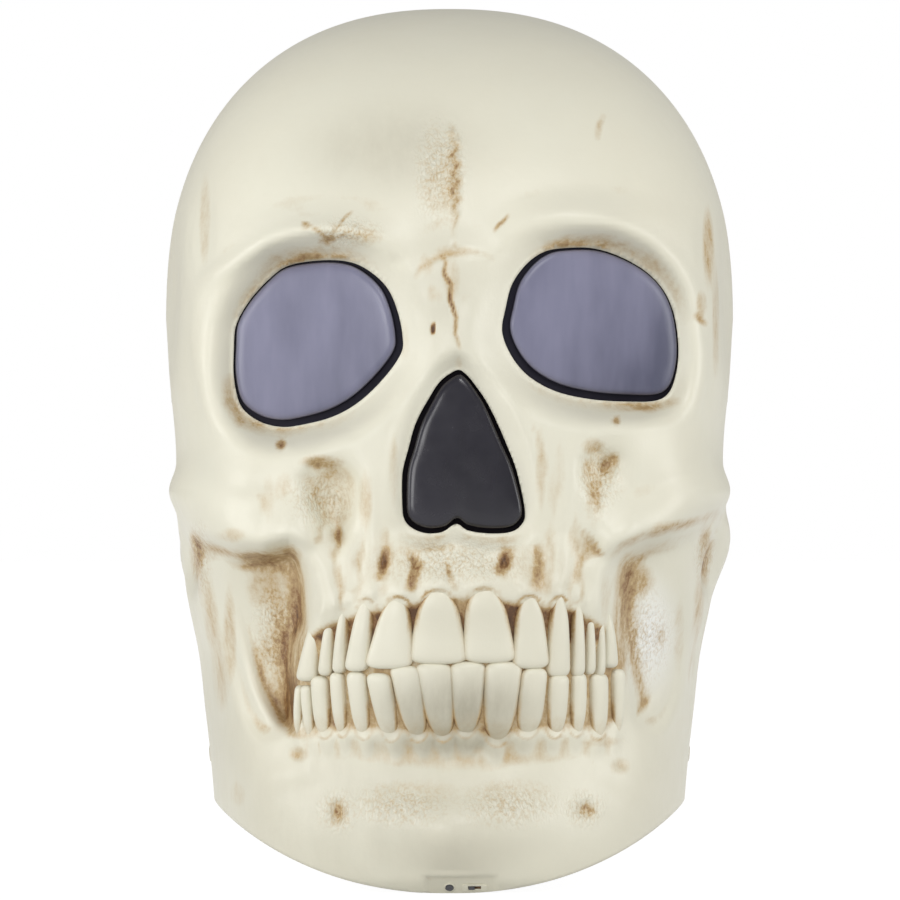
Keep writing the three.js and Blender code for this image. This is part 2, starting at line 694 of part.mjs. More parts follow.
const wide = Math.max(skull.width, skull.depth, skull.height);
const slab = (fromY, toY) => solid(block(
  new THREE.Vector3(-wide, fromY, -wide), new THREE.Vector3(wide, toY, wide * 2),
));

function seamScrews() {
  const level = (share) => 1 + (domeShare - share) / (domeShare - jaw.cornerShare);
  const places = seam.screwHeightShares.flatMap((share) => [-1, 1].map((side) => {
    const angle = side * Math.PI / 2;
    const surface = skinPlace(angle, Math.max(level(share), 1));
    return {
      side: side < 0 ? 'left' : 'right',
      out: new THREE.Vector3(side, 0, 0),
      surface: new THREE.Vector3(surface.x, -seam.behind, surface.z),
      rise: seam.nub.rise,
    };
  }));
  const crown = new THREE.Vector3(0, -seam.behind, skull.height);
  return [...places, { side: 'crown', out: axes.z.clone(), surface: crown, rise: -gap }];
}

const seamJoints = seamScrews();
const seamSink = seamScrew.headHeight + gap;

function frontSeam() {
  const nubs = seamJoints.filter(({ rise }) => rise > 0).map(({ out, surface, rise }) => (
    solid(rod(
      seam.nub.radius, along(surface, out, -skull.wall), along(surface, out, rise), seam.nub.sides,
    ))));
  const holes = seamJoints.flatMap(({ out, surface, rise }) => {
    const face = along(surface, out, rise);
    const inside = along(face, out, -overrun * 2);
    return [
      solid(rod(seamScrew.hole, inside, along(face, out, overrun), seamScrew.sides)),
      solid(rod(seamScrew.sink, along(face, out, -seamSink), along(face, out, overrun), seam.sides)),
    ];
  });
  return { nubs, holes };
}

function seamTabs() {
  const { thickness, length, root, width } = seam.tab;
  const slid = coreSolid(skull.wall + gap * 2);
  const buried = coreSolid(skull.wall - gap * 4);
  const inner = coreSolid(skull.wall + gap * 2 + thickness);
  const tabs = seamJoints.map(({ out, surface }) => {
    const half = new THREE.Vector3(width / 2, 0, width / 2).addScaledVector(
      new THREE.Vector3(Math.abs(out.x), 0, Math.abs(out.z)), overrun,
    );
    const box = (fromY, toY) => solid(block(
      surface.clone().sub(half).setY(fromY), surface.clone().add(half).setY(toY),
    ));
    const ahead = slid.intersect(box(-length, root / 2));
    const behind = buried.intersect(box(gap, root));
    const boss = solid(rod(
      seam.boss.radius, along(surface, out, -skull.wall * 1.5),
      along(surface, out, -skull.wall * 1.5 - seam.boss.length - thickness), seamScrew.sides,
    ));
    return ahead.add(behind).subtract(inner).add(boss.intersect(slid));
  });
  return joined(tabs);
}

// The floor: the plate's pocket, its opening and its screws
const basePlate = {
  inset: 9, screwInset: 21, screwTurns: [0.04, 0.43, 0.57, 0.96], sides: 24, holeSides: 6,
};
function footprintSolid(inset, low, high) {
  const ringAt = (z) => Array.from({ length: basePlate.sides }, (_, side) => {
    const angle = (side + 0.5) / basePlate.sides * 2 * Math.PI;
    const reach = footprintReach(angle, inset);
    return new THREE.Vector3(Math.sin(angle) * reach, -Math.cos(angle) * reach, z);
  });
  return solid(loft([ringAt(low), ringAt(high)]));
}

const baseScrewPlaces = basePlate.screwTurns.map((turn) => {
  const angle = turn * 2 * Math.PI;
  const reach = footprintReach(angle, basePlate.screwInset);
  return new THREE.Vector3(Math.sin(angle) * reach, -Math.cos(angle) * reach, 0);
});
const baseBosses = baseScrewPlaces.map((place) => solid(rod(
  seamScrew.head, place.clone().setZ(floor.plate + gap), place.clone().setZ(floor.top + floor.boss),
  basePlate.holeSides,
)));
const baseHoles = baseScrewPlaces.map((place) => solid(rod(
  seamScrew.hole, place.clone().setZ(-overrun), place.clone().setZ(floor.top + floor.boss - gap),
  basePlate.holeSides,
)));
const basePocket = footprintSolid(basePlate.inset - gap, -overrun, floor.plate + gap);
const baseOpening = footprintSolid(basePlate.inset + floor.flangeReach, -overrun, floor.top + gap);

// The controls under the chin, on a small flat that faces forwards and down. In their own
// frame x runs across, y up the flat and z straight out of it.
const controls = {
  x: 12,
  z: 6.5,
  sink: 7, // how far the flat is set back into the chin
  tilt: THREE.MathUtils.degToRad(40),
  flat: { width: 66, height: 30 },
  bay: { width: 58, low: -5.5, high: 12, front: -2.5, back: -34 },
  button: {
    x: -12, radius: 4, rise: 2.5, edge: 0.8, flange: 5.2, web: 1.5, collar: 6, travel: 1.5,
    sides: 14, cap: 3,
  },
  slide: {
    x: 13, width: 25, height: 8, corner: 2, cornerSteps: 3, slot: 13, slotHeight: 4.4,
    knob: 6, knobHeight: 3.4, rise: 2.4, foot: 1.5, footHeight: 7, travel: 6,
  },
  trim: 0.9, // the thickness of the collar and the bezel
  board: {
    width: 54, low: -4.5, high: 9.5, thickness: 1.6, depth: 13, pillarX: 24.2, pillarY: 4.5,
  },
};
const chin = new THREE.Group();
chin.position.set(
  controls.x, faceDepth(controls.x, controls.z) + controls.sink, controls.z,
);
chin.rotation.x = Math.PI / 2 + controls.tilt;
chin.updateMatrix();
const inChin = (geometry) => geometry.applyMatrix4(chin.matrix);
const chinBlock = (low, high) => solid(inChin(block(
  new THREE.Vector3(...low), new THREE.Vector3(...high))));
const chinRod = (radius, [x, y], low, high, sides) => solid(inChin(rod(
  radius, new THREE.Vector3(x, y, low), new THREE.Vector3(x, y, high), sides)));

function chinCuts() {
  const { flat, bay, button, slide } = controls;
  return [
    chinBlock([-flat.width / 2, -flat.height / 2, 0], [flat.width / 2, flat.height / 2, overrun]),
    chinBlock([-bay.width / 2, bay.low, bay.back], [bay.width / 2, bay.high, bay.front]),
    chinRod(button.radius + gap, [button.x, 0], -overrun, overrun, button.sides),
    chinBlock(
      [slide.x - slide.slot / 2, -slide.slotHeight / 2, -overrun],
      [slide.x + slide.slot / 2, slide.slotHeight / 2, overrun],
    ),
  ];
}

// The battery door's pocket in the back pad
const battery = {
  cell: { radius: 17.1, length: 61.5, nub: 5, sides: 12 },
  count: 3,
  pitch: 35.6,
  tray: { wall: 2, flange: 8, lip: 4, end: 4.5 },
  door: { thickness: 3, knuckle: 2.9, margin: 8, knuckleLength: 34, knuckleSides: 10 },
  pin: { radius: 1, clearance: 0.35, grip: 4, sides: 8 },
  screwDepth: 5,
};
battery.bay = {
  width: battery.pitch * battery.count + 2 * gap,
  height: battery.cell.length + 2 * battery.tray.end,
  depth: 2 * battery.cell.radius + 3 * gap,
};
battery.lip = {
  width: battery.bay.width + 2 * (battery.tray.wall + battery.tray.flange),
  height: battery.bay.height + 2 * (battery.tray.wall + battery.tray.flange),
};
battery.layers = { doorFront: pad.y - 2 * gap };
battery.layers.doorBack = battery.layers.doorFront - battery.door.thickness;
battery.layers.lipFront = battery.layers.doorBack - gap;
battery.layers.lipBack = battery.layers.lipFront - battery.tray.lip;
battery.layers.floor = battery.layers.lipBack - gap;
battery.pocket = {
  halfWidth: battery.lip.width / 2 + 3 * gap,
  low: pad.z - battery.lip.height / 2 - battery.door.margin,
  high: pad.z + battery.lip.height / 2 + 2 * battery.door.knuckle + 3 * gap,
};
battery.pinPlace = {
  y: (battery.layers.doorBack + battery.layers.doorFront) / 2,
  z: battery.pocket.high - battery.door.knuckle - gap,
};
battery.screwZ = battery.pocket.low + battery.door.margin / 2 + gap;

function centred(halfWidth, y, z) {
  return block(new THREE.Vector3(-halfWidth, y[0], z[0]), new THREE.Vector3(halfWidth, y[1], z[1]));
}

function batteryCuts() {
  const { pocket, layers: { floor: lowest }, pin, bay, tray, pinPlace } = battery;
  const half = bay.width / 2 + tray.wall + gap;
  const halfHeight = bay.height / 2 + tray.wall + gap;
  const pinHalf = pocket.halfWidth + pin.grip;
  return [
    solid(centred(pocket.halfWidth, [lowest, pad.y + overrun], [pocket.low, pocket.high])),
    solid(centred(half, [pad.y - overrun * 3, pad.y], [pad.z - halfHeight, pad.z + halfHeight])),
    solid(rod(
      pin.radius + gap, new THREE.Vector3(-pinHalf, pinPlace.y, pinPlace.z),
      new THREE.Vector3(pinHalf, pinPlace.y, pinPlace.z), pin.sides,
    )),
    solid(rod(
      smallScrew.hole, new THREE.Vector3(0, lowest - battery.screwDepth - gap, battery.screwZ),
      new THREE.Vector3(0, pad.y, battery.screwZ), smallScrew.sides,
    )),
  ];
}

const trayScrewX = (battery.bay.width + battery.lip.width) / 4 + battery.tray.wall / 2;
const trayScrewY = battery.layers.lipFront - smallScrew.headHeight - gap;
const trayScrewPlaces = [-1, 1].map((side) => (
  new THREE.Vector3(side * trayScrewX, trayScrewY, pad.z)));

// The two shells
const openings = Object.values(lightWindows);
const seamCuts = frontSeam();
const boardPillars = [-1, 1].map((side) => (
  [side * controls.board.pillarX, controls.board.pillarY]));
function frontShell() {
  const side = slab(-wide, -gap / 2);
  const face = outer.add(teeth).intersect(side);
  const hull = cut(face, [core, ...openings.map(windowRoom)]);
  const fitted = joined([hull, ...openings.map(windowBosses), ...seamCuts.nubs]).intersect(side);
  const floored = fitted.add(joined(baseBosses).intersect(side));
  const trimmed = cut(floored, [
    basePocket, baseOpening, ...baseHoles, ...chinCuts(), ...seamCuts.holes,
    ...openings.map(windowOpening), ...openings.flatMap(windowScrewHoles),
  ]);
  const { bay, board } = controls;
  const pillars = boardPillars.map((place) => (
    chinRod(panel.boss.radius, place, -board.depth + gap, bay.front + gap, smallScrew.sides)));
  const holes = boardPillars.map((place) => (
    chinRod(smallScrew.hole, place, -board.depth, bay.front - gap, smallScrew.sides)));
  return cut(trimmed.add(joined(pillars)), holes);
}

function rearShell() {
  const side = slab(gap / 2, wide);
  const padSlab = solid(centred(
    pad.width / 2, [pad.y - pad.depth, pad.y], [pad.z - pad.height / 2, pad.z + pad.height / 2],
  ));
  const hull = outer.intersect(side).subtract(core).add(padSlab).add(seamTabs());
  const trayHoles = trayScrewPlaces.map((place) => solid(rod(
    smallScrew.hole, place.clone().setY(pad.y - pad.depth - overrun), place, smallScrew.sides,
  )));
  return cut(hull.add(joined(baseBosses).intersect(side)), [
    basePocket, baseOpening, ...baseHoles, ...seamCuts.holes.filter((_, i) => i % 2 === 0),
    ...batteryCuts(), ...trayHoles,
  ]);
}

addPiece('front_shell', frontShell(), finishes.bone());
addPiece('rear_shell', rearShell(), finishes.bone());
seamJoints.forEach(({ side, out, surface, rise }, index) => {
  const place = along(surface, out, rise - seamSink + gap);
  const number = Math.floor(index / 2) + 1;
  const name = side === 'crown' ? 'crown_seam_screw' : `${side}_seam_screw_${number}`;
  addPiece(name, screw(seamScrew, seam.boss.length * 2, out, place), finishes.steel());
});

// The smoked panels: a flange behind the seat, and a body that stands out of it with a
// rounded edge and a slightly crowned front. The edge's rings are in shares of its radius.
const roundShares = [[0, 0.7], [0.3, 0.2], [1, 0]];
function windowPanel(opening) {
  const { rise, round, crown, flange } = panel;
  return loft([
    windowRing(opening, flange.reach, layers.flangeBack),
    windowRing(opening, flange.reach, layers.flangeFront),
    windowRing(opening, 0, layers.flangeFront),
    ...roundShares.map(([inwards, back]) => (
      windowRing(opening, -round * inwards, round * back - rise))),
  ], [null, new THREE.Vector3(opening.x, opening.y - rise - crown, opening.z)]);
}

// The cups: a flange that clamps the panel, and a bowl that narrows to the light board
const cup = {
  wall: 2, mouth: -1.5, floorScale: 0.5, holeScale: 0.22, boardScale: 0.4, boardThickness: 1.6,
};
const led = {
  radius: 2.5, tip: 1.75, shoulder: 0.75, length: 9, sides: 6,
};

function cupDepth(opening) {
  return opening.cupShare * skull.depth;
}

function reflector(opening) {
  const depth = cupDepth(opening);
  const outerScale = cup.floorScale + 2 * cup.wall / (opening.halfWidthShare * skull.width);
  const ring = (outwards, behind, scale = 1) => windowRing(opening, outwards, behind, scale, 2);
  const bowl = solid(loft([
    ring(0, depth - cup.wall, cup.floorScale),
    ring(cup.mouth, layers.cupFront),
    ring(panel.cupFlange.reach, layers.cupFront),
    ring(panel.cupFlange.reach, layers.cupFlangeBack),
    ring(cup.mouth + 2 * cup.wall, layers.cupFlangeBack),
    ring(0, depth, outerScale),
  ]));
  const hole = solid(loft([
    ring(0, depth - overrun / 2, cup.holeScale), ring(0, depth + overrun, cup.holeScale),
  ]));
  const screwHoles = screwPlaces(opening).map(([x, z]) => {
    const from = new THREE.Vector3(x, seatDepth(opening, x, z), z);
    return solid(rod(smallScrew.hole, from, along(from, axes.y, overrun), smallScrew.sides));
  });
  const ears = screwPlaces(opening).map((place) => (
    seatPad(opening, place, panel.ear.radius, layers.cupFront, layers.cupFlangeBack)));
  return cut(joined([bowl, ...ears]), [hole, ...screwHoles]);
}

function lightBoard(opening) {
  const front = cupDepth(opening) + gap;
  const plate = solid(loft([
    windowRing(opening, 0, front, cup.boardScale, 2),
    windowRing(opening, 0, front + cup.boardThickness, cup.boardScale, 2),
  ]));
  const profile = [
    [0, -cup.boardThickness / 2], [led.radius, -cup.boardThickness / 2],
    [led.radius, led.length - led.radius], [led.tip, led.length - led.shoulder],
    [0, led.length],
  ];
  const place = new THREE.Vector3(opening.x, opening.y + front, opening.z);
  return plate.add(solid(turned(profile, led.sides, axes.y.clone().negate(), place)));
}

const panelFinish = {
  left_eye: finishes.eyePanel, right_eye: finishes.eyePanel, nose: finishes.nosePanel,
};
Object.entries(lightWindows).forEach(([name, opening]) => {
  addPiece(`${name}_lens`, windowPanel(opening), panelFinish[name]());
  addPiece(`${name}_reflector`, reflector(opening), finishes.cup());
  addPiece(`${name}_light_board`, lightBoard(opening), finishes.board());
  const headSeat = layers.cupFlangeBack + Math.abs(opening.lean) * smallScrew.head + gap;
  screwPlaces(opening).forEach(([x, z], index) => {
    const place = new THREE.Vector3(x, seatDepth(opening, x, z) + headSeat, z);
    const length = headSeat - layers.seatBack / 2 - gap;
    addPiece(`${name}_screw_${index + 1}`, screw(smallScrew, length, axes.y, place), finishes.steel());
  });
});

// The base plate closes the floor, with its screws sunk into it
function basePlateSolid() {
  const plate = footprintSolid(basePlate.inset, 0, floor.plate);
  const holes = baseScrewPlaces.flatMap((place) => [
    solid(rod(
      seamScrew.hole, place.clone().setZ(-overrun), place.clone().setZ(overrun), basePlate.holeSides,
    )),
    solid(rod(
      seamScrew.sink, place.clone().setZ(-overrun),
      place.clone().setZ(seamScrew.headHeight + 2 * gap), seam.sides,
    )),
  ]);
  return cut(plate, holes);
}
addPiece('base_plate', basePlateSolid(), finishes.darkPlastic());
baseScrewPlaces.forEach((place, index) => {
  const under = place.clone().setZ(seamScrew.headHeight + gap);
  const length = floor.top + floor.boss - 2 * gap - under.z;
  const down = axes.z.clone().negate();
  addPiece(`base_screw_${index + 1}`, screw(seamScrew, length, down, under), finishes.steel());
});

// The controls, in the frame of the flat under the chin
function controlPieces() {
  const { button, slide, trim, bay, board } = controls;
  const outwards = axes.z;
  const buttonPlace = new THREE.Vector3(button.x, 0, 0);
  const inner = button.radius + 2 * gap;
  const collar = turned([
    [inner, gap], [button.collar, gap], [button.collar, trim], [button.collar - gap * 2, gap + trim],
    [inner, gap + trim], [inner, gap],
  ], button.sides, outwards, buttonPlace);
  const inside = bay.front - gap;
  const press = turned([
    [0, inside - button.web], [button.flange, inside - button.web], [button.flange, inside],
    [button.radius, inside], [button.radius, button.rise - button.edge],
    [button.radius - button.edge, button.rise - gap], [0, button.rise],
  ], button.sides, outwards, buttonPlace);

  const [halfWidth, halfHeight] = [slide.width / 2, slide.height / 2];
  const outline = new THREE.Shape();
  const corner = slide.corner;
  outline.absarc(halfWidth - corner, halfHeight - corner, corner, 0, Math.PI / 2);
  outline.absarc(-halfWidth + corner, halfHeight - corner, corner, Math.PI / 2, Math.PI);
  outline.absarc(-halfWidth + corner, -halfHeight + corner, corner, Math.PI, 1.5 * Math.PI);
  outline.absarc(halfWidth - corner, -halfHeight + corner, corner, 1.5 * Math.PI, 2 * Math.PI);
  const [halfSlot, slotTop] = [slide.slot / 2, slide.slotHeight / 2];
  outline.holes.push(new THREE.Path([
    new THREE.Vector2(-halfSlot, -slotTop), new THREE.Vector2(-halfSlot, slotTop),
    new THREE.Vector2(halfSlot, slotTop), new THREE.Vector2(halfSlot, -slotTop),
  ]));
  const bezel = new THREE.ExtrudeGeometry(outline, {
    depth: trim, bevelEnabled: false, curveSegments: slide.cornerSteps,
  });
  bezel.translate(slide.x, 0, gap);

  const knobLeft = slide.x - halfSlot + (slide.slot - slide.knob - slide.travel) / 2;
  const slider = solid(block(
    new THREE.Vector3(knobLeft, -slide.knobHeight / 2, inside - board.thickness),
    new THREE.Vector3(knobLeft + slide.knob, slide.knobHeight / 2, slide.rise),
  )).add(solid(block(
    new THREE.Vector3(knobLeft - slide.foot, -slide.footHeight / 2, inside - board.thickness),
    new THREE.Vector3(knobLeft + slide.knob + slide.foot, slide.footHeight / 2, inside),
  )));

  const face = -board.depth;
  const plate = solid(block(
    new THREE.Vector3(-board.width / 2, board.low, face - board.thickness),
    new THREE.Vector3(board.width / 2, board.high, face),
  ));
  const touch = solid(block(
    new THREE.Vector3(button.x - button.cap, -button.cap, face - gap),
    new THREE.Vector3(button.x + button.cap, button.cap, inside - button.web - button.travel - gap),
  ));
  const rail = solid(block(
    new THREE.Vector3(slide.x - halfSlot, -slide.knobHeight / 2, face - gap),
    new THREE.Vector3(slide.x + halfSlot, slide.knobHeight / 2, inside - board.thickness - gap),
  ));
  const screwHole = ([x, y]) => solid(rod(
    smallScrew.hole, new THREE.Vector3(x, y, face - overrun), new THREE.Vector3(x, y, face + gap),
    smallScrew.sides,
  ));
  const control = cut(joined([plate, touch, rail]), boardPillars.map(screwHole));
  return { collar, press, bezel, slider: geometryOf(slider), control: geometryOf(control) };
}
const controlParts = controlPieces();
addPiece('button_collar', controlParts.collar, finishes.darkPlastic(), chin);
addPiece('push_button', controlParts.press, finishes.button(), chin);
addPiece('switch_bezel', controlParts.bezel, finishes.darkPlastic(), chin);
addPiece('switch_slider', controlParts.slider, finishes.button(), chin);
addPiece('control_board', controlParts.control, finishes.board(), chin);
boardPillars.forEach(([x, y], index) => {
  const { board, bay } = controls;
  const place = new THREE.Vector3(x, y, -board.depth - board.thickness - gap);
  const length = board.depth + bay.front - gap;
  const head = axes.z.clone().negate();
  const body = screw(smallScrew, length, head, place);
  addPiece(`board_screw_${index + 1}`, body, finishes.steel(), chin);
});
model.add(chin);

// The battery tray, its cells and contacts, and the door that hangs over them
function trayBay() {
  const { bay, tray, layers: { lipFront } } = battery;
  return {
    half: bay.width / 2,
    back: lipFront - bay.depth,
    low: pad.z - bay.height / 2,
    high: pad.z + bay.height / 2,
    wall: tray.wall,
  };
}

function batteryTray() {
  const { lip, layers: { lipBack, lipFront } } = battery;
  const { half, back, low, high, wall } = trayBay();
  const box = solid(centred(half + wall, [back - wall, lipFront], [low - wall, high + wall]));
  const edge = solid(centred(
    lip.width / 2, [lipBack, lipFront], [pad.z - lip.height / 2, pad.z + lip.height / 2],
  ));
  const inside = solid(centred(half, [back, lipFront + overrun], [low, high]));
  const screws = trayScrewPlaces.flatMap((place) => [
    solid(rod(smallScrew.hole, place.clone().setY(lipBack - overrun), place, smallScrew.sides)),
    solid(rod(
      smallScrew.head + gap, along(place, axes.y, -gap), place.clone().setY(pad.y), seam.sides,
    )),
  ]);
  return cut(box.add(edge), [inside, ...screws]);
}

const cellY = battery.layers.lipFront - battery.cell.radius - gap;
const cellX = (index) => (index - (battery.count - 1) / 2) * battery.pitch;
const contact = {
  thickness: 0.8, halfDepth: 14, coil: 5, tip: 2.6, sides: 8,
};

function contactStrip(end, direction) {
  const half = battery.bay.width / 2 - gap;
  const [near, far] = [end + direction * gap, end + direction * (gap + contact.thickness)];
  const strip = solid(centred(
    half, [cellY - contact.halfDepth, cellY + contact.halfDepth],
    [Math.min(near, far), Math.max(near, far)],
  ));
  const reach = battery.tray.end - 2 * gap;
  const coils = Array.from({ length: battery.count }, (_, index) => solid(turned(
    [[0, gap * 2], [contact.coil, gap * 2], [contact.tip, reach], [0, reach]], contact.sides,
    axes.z.clone().multiplyScalar(direction), new THREE.Vector3(cellX(index), cellY, end),
  )));
  return joined([strip, ...coils]);
}

function cell(index) {
  const { radius, length, nub, sides } = battery.cell;
  const bottom = pad.z - length / 2;
  return turned([
    [0, 0], [radius - gap, 0], [radius, gap], [radius, length - gap - nub / 2],
    [nub, length - nub / 2], [nub, length], [0, length],
  ], sides, axes.z, new THREE.Vector3(cellX(index), cellY, bottom));
}

function batteryDoor() {
  const { door, pin, pinPlace, pocket, layers: { doorBack, doorFront } } = battery;
  const half = pocket.halfWidth - 2 * gap;
  const clear = pin.radius + pin.clearance;
  const plate = solid(centred(
    half, [doorBack, doorFront], [pocket.low + 2 * gap, pinPlace.z - clear],
  ));
  const knuckles = [-1, 1].map((side) => solid(rod(
    door.knuckle,
    new THREE.Vector3(side * (half - door.knuckleLength), pinPlace.y, pinPlace.z),
    new THREE.Vector3(side * half, pinPlace.y, pinPlace.z), door.knuckleSides,
  )));
  const bore = solid(rod(
    clear, new THREE.Vector3(-wide, pinPlace.y, pinPlace.z),
    new THREE.Vector3(wide, pinPlace.y, pinPlace.z), pin.sides,
  ));
  const screwPlace = new THREE.Vector3(0, doorBack, battery.screwZ);
  const screwHole = solid(rod(
    smallScrew.hole, screwPlace.clone().setY(doorBack - overrun),
    screwPlace.clone().setY(doorFront + overrun), smallScrew.sides,
  ));
  const sink = solid(rod(
    smallScrew.head + gap, screwPlace.clone().setY(doorFront - smallScrew.headHeight),
    screwPlace.clone().setY(doorFront + overrun), seam.sides,
  ));
  return cut(joined([plate, ...knuckles]), [bore, screwHole, sink]);
}

addPiece('battery_tray', batteryTray(), finishes.darkPlastic());
trayScrewPlaces.forEach((place, index) => {
  const length = place.y - (pad.y - pad.depth) - gap;
  addPiece(`tray_screw_${index + 1}`, screw(smallScrew, length, axes.y, place), finishes.steel());
});
for (let index = 0; index < battery.count; index += 1) {
  addPiece(`battery_cell_${index + 1}`, cell(index), finishes.cell());
}
addPiece('contact_strip_low', contactStrip(trayBay().low, 1), finishes.steel());
addPiece('contact_strip_high', contactStrip(trayBay().high, -1), finishes.steel());
addPiece('battery_door', batteryDoor(), finishes.bone());
{
  const { pin, pinPlace, pocket, layers: { doorFront, floor: pocketFloor } } = battery;
  const half = pocket.halfWidth + pin.grip - gap;
  addPiece('battery_door_pin', rod(
    pin.radius, new THREE.Vector3(-half, pinPlace.y, pinPlace.z),
    new THREE.Vector3(half, pinPlace.y, pinPlace.z), pin.sides,
  ), finishes.steel());
  const under = new THREE.Vector3(0, doorFront - smallScrew.headHeight + gap, battery.screwZ);
  const length = under.y - pocketFloor + battery.screwDepth - gap;
  addPiece('battery_door_screw', screw(smallScrew, length, axes.y, under), finishes.steel());
}

export default model;
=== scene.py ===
# %% [markdown]
# # A jumbo halloween skull for the yard
# The real thing is a hollow blow moulding in two halves, sprayed bone white with a brown wash
# rubbed into its hollows. Smoked panels close the eyes and the nose, and lamps shine through
# them. The construction comes ready made as a fixed frame. This lesson gives it its skin: the
# modelled bone, the teeth, the panels, the small hardware and every finish.

# %% The frame
import json
import math

import bpy
import numpy as np
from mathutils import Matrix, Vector


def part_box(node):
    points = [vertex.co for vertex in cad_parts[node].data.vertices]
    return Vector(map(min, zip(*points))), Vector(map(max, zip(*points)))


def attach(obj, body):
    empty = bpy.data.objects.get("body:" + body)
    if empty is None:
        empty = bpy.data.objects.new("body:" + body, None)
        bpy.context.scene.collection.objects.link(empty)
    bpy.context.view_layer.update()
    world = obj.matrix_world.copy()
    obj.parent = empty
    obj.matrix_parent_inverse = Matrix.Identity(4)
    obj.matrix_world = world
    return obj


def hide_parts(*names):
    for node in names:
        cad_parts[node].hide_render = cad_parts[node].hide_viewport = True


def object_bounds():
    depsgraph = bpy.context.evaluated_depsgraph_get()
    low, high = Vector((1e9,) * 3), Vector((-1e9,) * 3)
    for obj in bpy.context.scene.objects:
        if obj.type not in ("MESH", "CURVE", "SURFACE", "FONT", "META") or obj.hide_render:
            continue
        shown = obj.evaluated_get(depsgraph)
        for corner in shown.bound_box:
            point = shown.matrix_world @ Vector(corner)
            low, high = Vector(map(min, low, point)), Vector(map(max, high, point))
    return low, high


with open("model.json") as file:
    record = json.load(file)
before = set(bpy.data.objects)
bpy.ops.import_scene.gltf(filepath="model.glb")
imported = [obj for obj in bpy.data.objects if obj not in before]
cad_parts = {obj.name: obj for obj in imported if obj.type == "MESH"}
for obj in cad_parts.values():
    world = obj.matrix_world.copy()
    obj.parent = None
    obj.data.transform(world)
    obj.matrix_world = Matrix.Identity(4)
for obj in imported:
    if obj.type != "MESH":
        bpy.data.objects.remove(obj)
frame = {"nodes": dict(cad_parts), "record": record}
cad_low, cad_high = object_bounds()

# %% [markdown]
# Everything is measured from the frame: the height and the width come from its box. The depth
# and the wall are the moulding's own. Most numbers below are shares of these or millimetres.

MM = 0.001
HEIGHT = cad_high.z
WIDTH = cad_high.x - cad_low.x
DEPTH = 0.700
WALL = 4 * MM
FACE_AHEAD = -0.15  # ahead of this depth the skin belongs to the face
CHIN_AHEAD = -0.2  # and ahead of this one, low down, to the chin
print("skull", round(HEIGHT, 4), round(WIDTH, 4), round(DEPTH, 4))

# %% [markdown]
# ## The camera first
# The photograph was taken level with the middle of the skull, from far away, so the face has
# almost no perspective. A long lens does the same. One pixel of the photograph is then about
# one millimetre at the face, which makes it easy to carry a place over.

# %% The camera
CAMERA_BACK = 7.5
CAMERA_HEIGHT = 0.4425
CAMERA_ACROSS = 0.0005
MM_PER_PIXEL = 1.0398  # at the middle of the skull
MIDDLE_PIXEL = (449.5, 442.8)  # where x is 0 and the height is half the skull's
FRAME_PIXELS = 900


def add_camera():
    lens = bpy.data.cameras.new("camera")
    lens.sensor_width = 36
    lens.lens = lens.sensor_width * CAMERA_BACK / (FRAME_PIXELS * MM_PER_PIXEL * MM)
    camera = bpy.data.objects.new("camera", lens)
    bpy.context.collection.objects.link(camera)
    camera.location = (CAMERA_ACROSS, -CAMERA_BACK, CAMERA_HEIGHT)
    camera.rotation_euler = (math.pi / 2, 0, 0)
    bpy.context.scene.camera = camera
    return camera


camera = add_camera()


def from_photo(points, depth=-0.300):
    """Places across and up, in metres, of pixels of the photograph at a depth."""
    scale = MM_PER_PIXEL * MM * (CAMERA_BACK + depth) / CAMERA_BACK
    pixels = np.asarray(points, float)
    across = (pixels[..., 0] - MIDDLE_PIXEL[0]) * scale
    up = HEIGHT / 2 + (MIDDLE_PIXEL[1] - pixels[..., 1]) * scale
    return np.stack([across, up], axis=-1)


# %% [markdown]
# ## The form of the skull
# A skull is an egg with a flat face. Its width, the reach of its face and the reach of its
# back are read from one table of rows, as a sculptor reads them from templates. Smooth curves
# join the rows. Pulling a sphere about by hand would be quicker to start, but a table can be
# measured, and it keeps the skin on the ready-made shell.

# %% Curves and ramps
DOME_SHARE = 0.642
DOME_ROUND = (2.3, 2.2)  # across and along
BACK_ROUND, CROWN_ROUND = 2.2, 2.1
# height, half-width, reach of the face, reach of the back, squareness of the face
PROFILE = np.array([
    [0.000, 0.800, 0.870, 0.640, 2.2],
    [0.017, 0.806, 0.910, 0.650, 2.2],
    [0.056, 0.820, 0.940, 0.680, 2.2],
    [0.090, 0.830, 0.935, 0.700, 2.2],
    [0.122, 0.838, 0.908, 0.715, 2.2],
    [0.189, 0.853, 0.884, 0.745, 2.2],
    [0.256, 0.872, 0.892, 0.752, 2.25],
    [0.333, 0.925, 0.908, 0.762, 2.4],
    [0.411, 0.958, 0.925, 0.840, 2.7],
    [0.500, 0.963, 0.925, 0.950, 3.0],
    [0.578, 0.985, 0.918, 0.996, 3.1],
    [0.642, 1.000, 0.914, 1.004, 3.0],
])
# the lower border's height at the corner of the jaw and at the back, and how it sweeps up
JAW_CORNER, JAW_BACK, JAW_SWEEP = 0.091, 0.155, 2.25


def ramp(low, high, at):
    share = np.clip((at - low) / (high - low), 0, 1)
    return share * share * (3 - 2 * share)


def mix(low, high, share):
    return low + (high - low) * share


